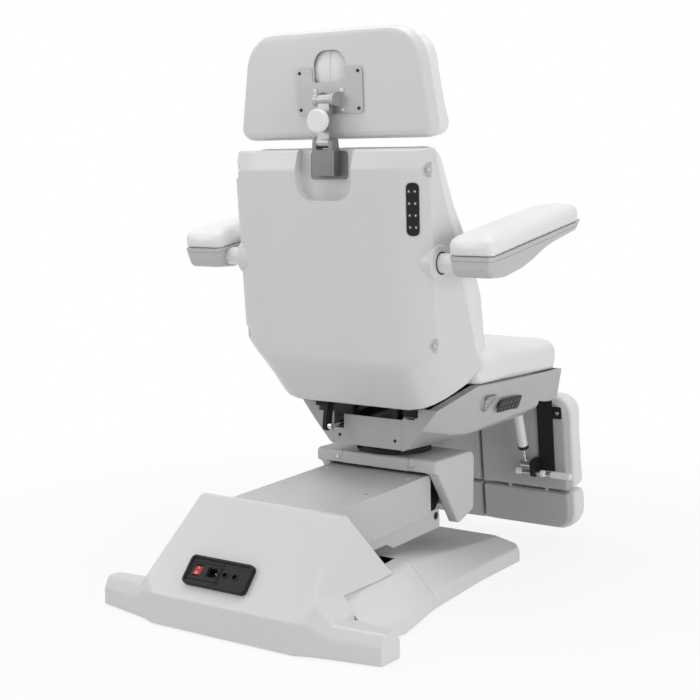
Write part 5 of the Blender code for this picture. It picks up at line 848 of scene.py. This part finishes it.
cast_grey = finish("silver_grey_casting", (0.21, 0.215, 0.22), (0.17, 0.175, 0.18),
                   (0.3, 0.42), 30, 1600, 0.12, 0.5)
plate_grey = finish("silver_grey_sheet", (0.46, 0.465, 0.47), (0.41, 0.415, 0.42),
                    (0.3, 0.42), 30, 1600, 0.08, 0.5)
dressed("headrest_bracket", cast_grey, 0.0012)
foot = touch("headrest_bracket", (0.045, BEHIND, 1.100), FORWARD)[0].y - CASTING_LAP
bpy.ops.mesh.primitive_cube_add(size=1, location=(0, (foot + CASTING_REAR) / 2, CASTING_Z),
                                scale=(0.066, CASTING_REAR - foot, 0.064))
casting = fresh("bracket_casting")
pick_faces(casting, lambda face: face.normal.z > ALIGNED)
bpy.ops.mesh.inset(thickness=0.006)
bpy.ops.mesh.extrude_region_move(TRANSFORM_OT_translate={"value": (0, 0, -0.020)})
bpy.ops.object.mode_set(mode="OBJECT")
pick_edges(casting, lambda middle, along, normals: (middle.y > CASTING_REAR - 0.002
                                                    and abs(middle.x) > 0.02))
bpy.ops.mesh.bevel(offset=0.005, segments=3, affect="EDGES")
bpy.ops.object.mode_set(mode="OBJECT")
broken(casting, 0.0012)
even(casting)
casting.data.materials.append(cast_grey)
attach(casting, frame["nodes"]["headrest_bracket"]["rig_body"])
link_silver = finish("silver_link_casting", (0.44, 0.44, 0.45), (0.37, 0.37, 0.38),
                     (0.3, 0.4), 30, 1600, 0.1, 0.85)
dressed("headrest_link", link_silver, 0.0012)
dressed("headrest_plate", plate_grey, 0.0010)
knob_white = finish("white_knob_nylon", (0.86, 0.86, 0.86), (0.83, 0.83, 0.83),
                    (0.3, 0.4), 30, 900, 0.02)


def fluted(knob):
    """Sinks a grip into each flat of the knob's rim."""
    pick_faces(knob, lambda face: (abs(face.normal.y) < 0.05
                                   and math.hypot(face.center.x, face.center.z - KNOB_Z) > 0.025))
    bpy.ops.mesh.inset(thickness=0.0016, depth=-0.0022, use_individual=True)
    bpy.ops.object.mode_set(mode="OBJECT")


dressed("headrest_knob", knob_white, 0.0007, 2, 30, work=fluted)

# The headrest: a white formed shell with an arched window for a hand, on the neck's plate,
# and a cushion in front of it whose leather shows through the window.
HEAD_FRONT = (0, -0.9976, 0.0698)
HEAD_RISE = (0, 0.0698, 0.9976)
BOLT_X = 0.040
BOLTS = ((1.2805, "high"), (1.231, "low"))
WINDOW_Z = 1.338
WINDOW_BULGE = (0.076, 0.029, 0.072)
WINDOW_LAP = 0.002
PLATE_CORNERS = ((-0.088, 1.236), (0.088, 1.236), (0.088, 1.326), (-0.088, 1.326))

dressed("headrest_shell", shell_white, 0.002, 3, 45)
for k, (across, height) in enumerate(PLATE_CORNERS, 1):
    let_in(panel_screw, f"headrest_screw_{k}", "headrest_plate", (across, BEHIND, height),
           steel_dark)
for side, label in SIDES:
    for height, part in BOLTS:
        let_in(cover_screw, f"headrest_bolt_{part}_{label}", "headrest_plate",
               (side * BOLT_X, BEHIND, height), steel_bright)
stuffed("headrest_cushion", HEAD_FRONT, HEAD_RISE, 0.006, 0.006, 0.030)

rear = touch("headrest_cushion", (0, BEHIND, WINDOW_Z), FORWARD)[0]
bpy.ops.mesh.primitive_uv_sphere_add(segments=48, ring_count=24, radius=1, location=rear,
                                     scale=WINDOW_BULGE)
bulge = fresh("window_leather")
bpy.ops.object.mode_set(mode="EDIT")
bpy.ops.mesh.select_all(action="SELECT")
bpy.ops.mesh.bisect(plane_co=rear - Vector((0, WINDOW_LAP, 0)), plane_no=(0, 1, 0),
                    clear_inner=True, use_fill=True)
bpy.ops.object.mode_set(mode="OBJECT")
for v in bulge.data.vertices:
    v.select = abs(v.co.x) < 0.0005 and v.co.y > rear.y + WINDOW_LAP
bpy.ops.object.mode_set(mode="EDIT")
bpy.ops.mesh.select_mode(type="VERT")
bpy.ops.transform.translate(value=(0, -0.0022, 0), use_proportional_edit=True,
                            proportional_size=0.010)
bpy.ops.object.mode_set(mode="OBJECT")
bpy.ops.object.shade_smooth_by_angle(angle=math.radians(60))
mesh = bulge.data
# The seam runs down the middle, so the leather paints shade into that groove as well as bumping
# it.
for name, axis in (("seam", 0), ("run", 2)):
    values = [v.co[axis] for v in mesh.vertices]
    mesh.attributes.new(name, "FLOAT", "POINT").data.foreach_set("value", values)
mesh.materials.append(white_leather)
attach(bulge, frame["nodes"]["headrest_cushion"]["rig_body"])

# The armrests: a white tube through the back carries a moulded shell with a scored lip and a
# padded top on each side. The back's shell swells round the tube, and a black bush lines
# the hole.
AXLE = Vector((0, 0.262, 0.8624))
ARM_UP = Vector((0, 0.1668, 0.9860))
ARM_ALONG = (0, -0.9860, 0.1668)
PAD_FOOT = 0.028
LIP_DROPS = (0.0095, 0.0117)
ARM_INNER = 0.33
SWELLING_X = 0.3012
BUSH_X = 0.3010

dressed("armrest_axle", knob_white, 0.0008)
bush = ring("bush", 0.0242, 0.0282, 0.0015, 48)
bpy.ops.mesh.primitive_cone_add(vertices=56, radius1=0.027, radius2=0.0480, depth=0.104,
                                location=(0, 0, -0.0515))
swelling = fresh("swelling")
pick_faces(swelling, lambda face: face.normal.z > ALIGNED)
bpy.ops.mesh.bevel(offset=0.009, segments=5, affect="EDGES")
bpy.ops.mesh.inset(thickness=0.004)
bpy.ops.transform.translate(value=(0, 0, -0.0012))
bpy.ops.object.mode_set(mode="OBJECT")
even(swelling, 70)
rubber = finish("black_rubber", (0.022, 0.022, 0.022), (0.016, 0.016, 0.016),
                (0.6, 0.75), 40, 1800, 0.15)
arm_grey = finish("pale_grey_arm_plastic", (0.56, 0.555, 0.55), (0.525, 0.52, 0.515),
                  (0.34, 0.44), 8, 1500, 0.06)


def lipped(shell):
    """Scores a line under the shell's lip, 10 mm below the pad. Its faces are picked in the
    face mode that the swelling leaves."""
    lines = [AXLE + ARM_UP * (PAD_FOOT - drop) for drop in LIP_DROPS]
    for line in lines:
        bpy.ops.object.mode_set(mode="EDIT")
        bpy.ops.mesh.select_all(action="SELECT")
        bpy.ops.mesh.bisect(plane_co=line, plane_no=ARM_UP)
        bpy.ops.object.mode_set(mode="OBJECT")
    for face in shell.data.polygons:
        level = face.center.dot(ARM_UP)
        out = abs(face.center.x) > ARM_INNER and abs(face.normal.dot(ARM_UP)) < 0.7
        face.select = out and lines[1].dot(ARM_UP) < level < lines[0].dot(ARM_UP)
    bpy.ops.object.mode_set(mode="EDIT")
    bpy.ops.mesh.extrude_region_shrink_fatten(TRANSFORM_OT_shrink_fatten={"value": -0.0014})
    bpy.ops.object.mode_set(mode="OBJECT")


for side, label in SIDES:
    seated(swelling, "axle_swelling_" + label, AXLE + Vector((side * SWELLING_X, 0, 0)),
           (side, 0, 0), shell_white, "back_shell")
    seated(bush, "axle_bush_" + label, AXLE + Vector((side * BUSH_X, 0, 0)), (side, 0, 0), rubber,
           "armrest_axle")
    dressed("armrest_shell_" + label, arm_grey, 0.0006, 2, 45, work=lipped)


def mirrored(pad, name):
    """The same cushion for the other side."""
    other = bpy.data.objects.new("finished_" + name, pad.data.copy())
    bpy.context.scene.collection.objects.link(other)
    other.data.transform(Matrix.Diagonal((-1, 1, 1, 1)))
    other.data.flip_normals()
    fitted(other, name)


pad = stuffed("armrest_pad_right", ARM_UP, ARM_ALONG, 0.0055, 0.004, 0)
mirrored(pad, "armrest_pad_left")

# The leg rests: on each side a black steel rail hinged at the knee, a moulded tray with a
# cushion in front, a gas strut in a white sleeve and a release rod with white grips.
LEG_DOWN = (0, -0.1392, -0.9903)
LEG_FRONT = (0, -0.9903, 0.1392)
STRUT_LOW = Vector((0, -0.4395, 0.2433))
STRUT_RUN = Vector((0, 0.0735, 0.2071))
STRUT_X = 0.172
COLLAR_AT = 0.225
CLIP_X = 0.2620
CLIP_Z = 0.398
GRIP_FROM = 0.0068
PLUGS = (("leg_shell_", 0.040, 0.205), ("foot_shell_", 0.040, 0.120),
         ("foot_shell_", 0.240, 0.085))

tray_grey = finish("warm_grey_tray_plastic", (0.50, 0.49, 0.48), (0.465, 0.455, 0.445),
                   (0.42, 0.52), 7, 1600, 0.08)
plug = turned("plug", 0.0075, 0.0016, 0, 28)
clip = tablet("clip", 0.030, 0.036, 0.0030, 0.004)
collar = ring("collar", 0.0105, 0.0155, 0.010)
for side, label in SIDES:
    rail = "leg_rail_" + label
    dressed(rail, dark_coat, 0.0010)
    for name in ("leg_shell_" + label, "foot_shell_" + label):
        dressed(name, tray_grey, 0.0015, 3, 45)
    dressed("strut_rod_" + label, steel_bright, 0.0005)
    dressed("strut_tube_" + label, knob_white, 0.0010)
    seated(collar, "strut_collar_" + label,
           Vector((side * STRUT_X, 0, 0)) + STRUT_LOW + STRUT_RUN * COLLAR_AT, STRUT_RUN, black,
           "strut_tube_" + label)
    release = dressed("leg_release_" + label, steel_bright, 0.0006)
    release.data.materials.append(knob_white)
    rows = [[v.co[axis] for v in release.data.vertices] for axis in (1, 2)]
    mid_y, mid_z = ((min(row) + max(row)) / 2 for row in rows)
    for face in release.data.polygons:
        off_axis = math.hypot(face.center.y - mid_y, face.center.z - mid_z)
        face.material_index = int(off_axis > GRIP_FROM)
    place, normal = touch("leg_shell_" + label, (side * CLIP_X, BEHIND, CLIP_Z), FORWARD)
    seated(clip, "rail_clip_" + label, place - normal * 0.0003, normal, dark_coat, rail)
    place += normal * 0.0025 + Vector((side * 0.003, 0, 0))
    seated(cover_screw, "rail_clip_screw_" + label, place, normal, steel_bright, rail)
    for k, (node, across, height) in enumerate(PLUGS, 1):
        let_in(plug, f"tray_plug_{k}_{label}", node + label, (side * across, BEHIND, height),
               tray_grey)
for name in ("leg_cushion_", "foot_cushion_"):
    pad = stuffed(name + "right", LEG_FRONT, LEG_DOWN, 0.006, 0.005, 0.026)
    mirrored(pad, name + "left")

for model in (blade, jack_rim, panel_rim, module_frame, divider, stroke, circle, cover_screw,
              panel_screw, key, arrow, pocket_screw, small_key, bush, swelling, plug, clip,
              collar):
    bpy.data.objects.remove(model, do_unlink=True)
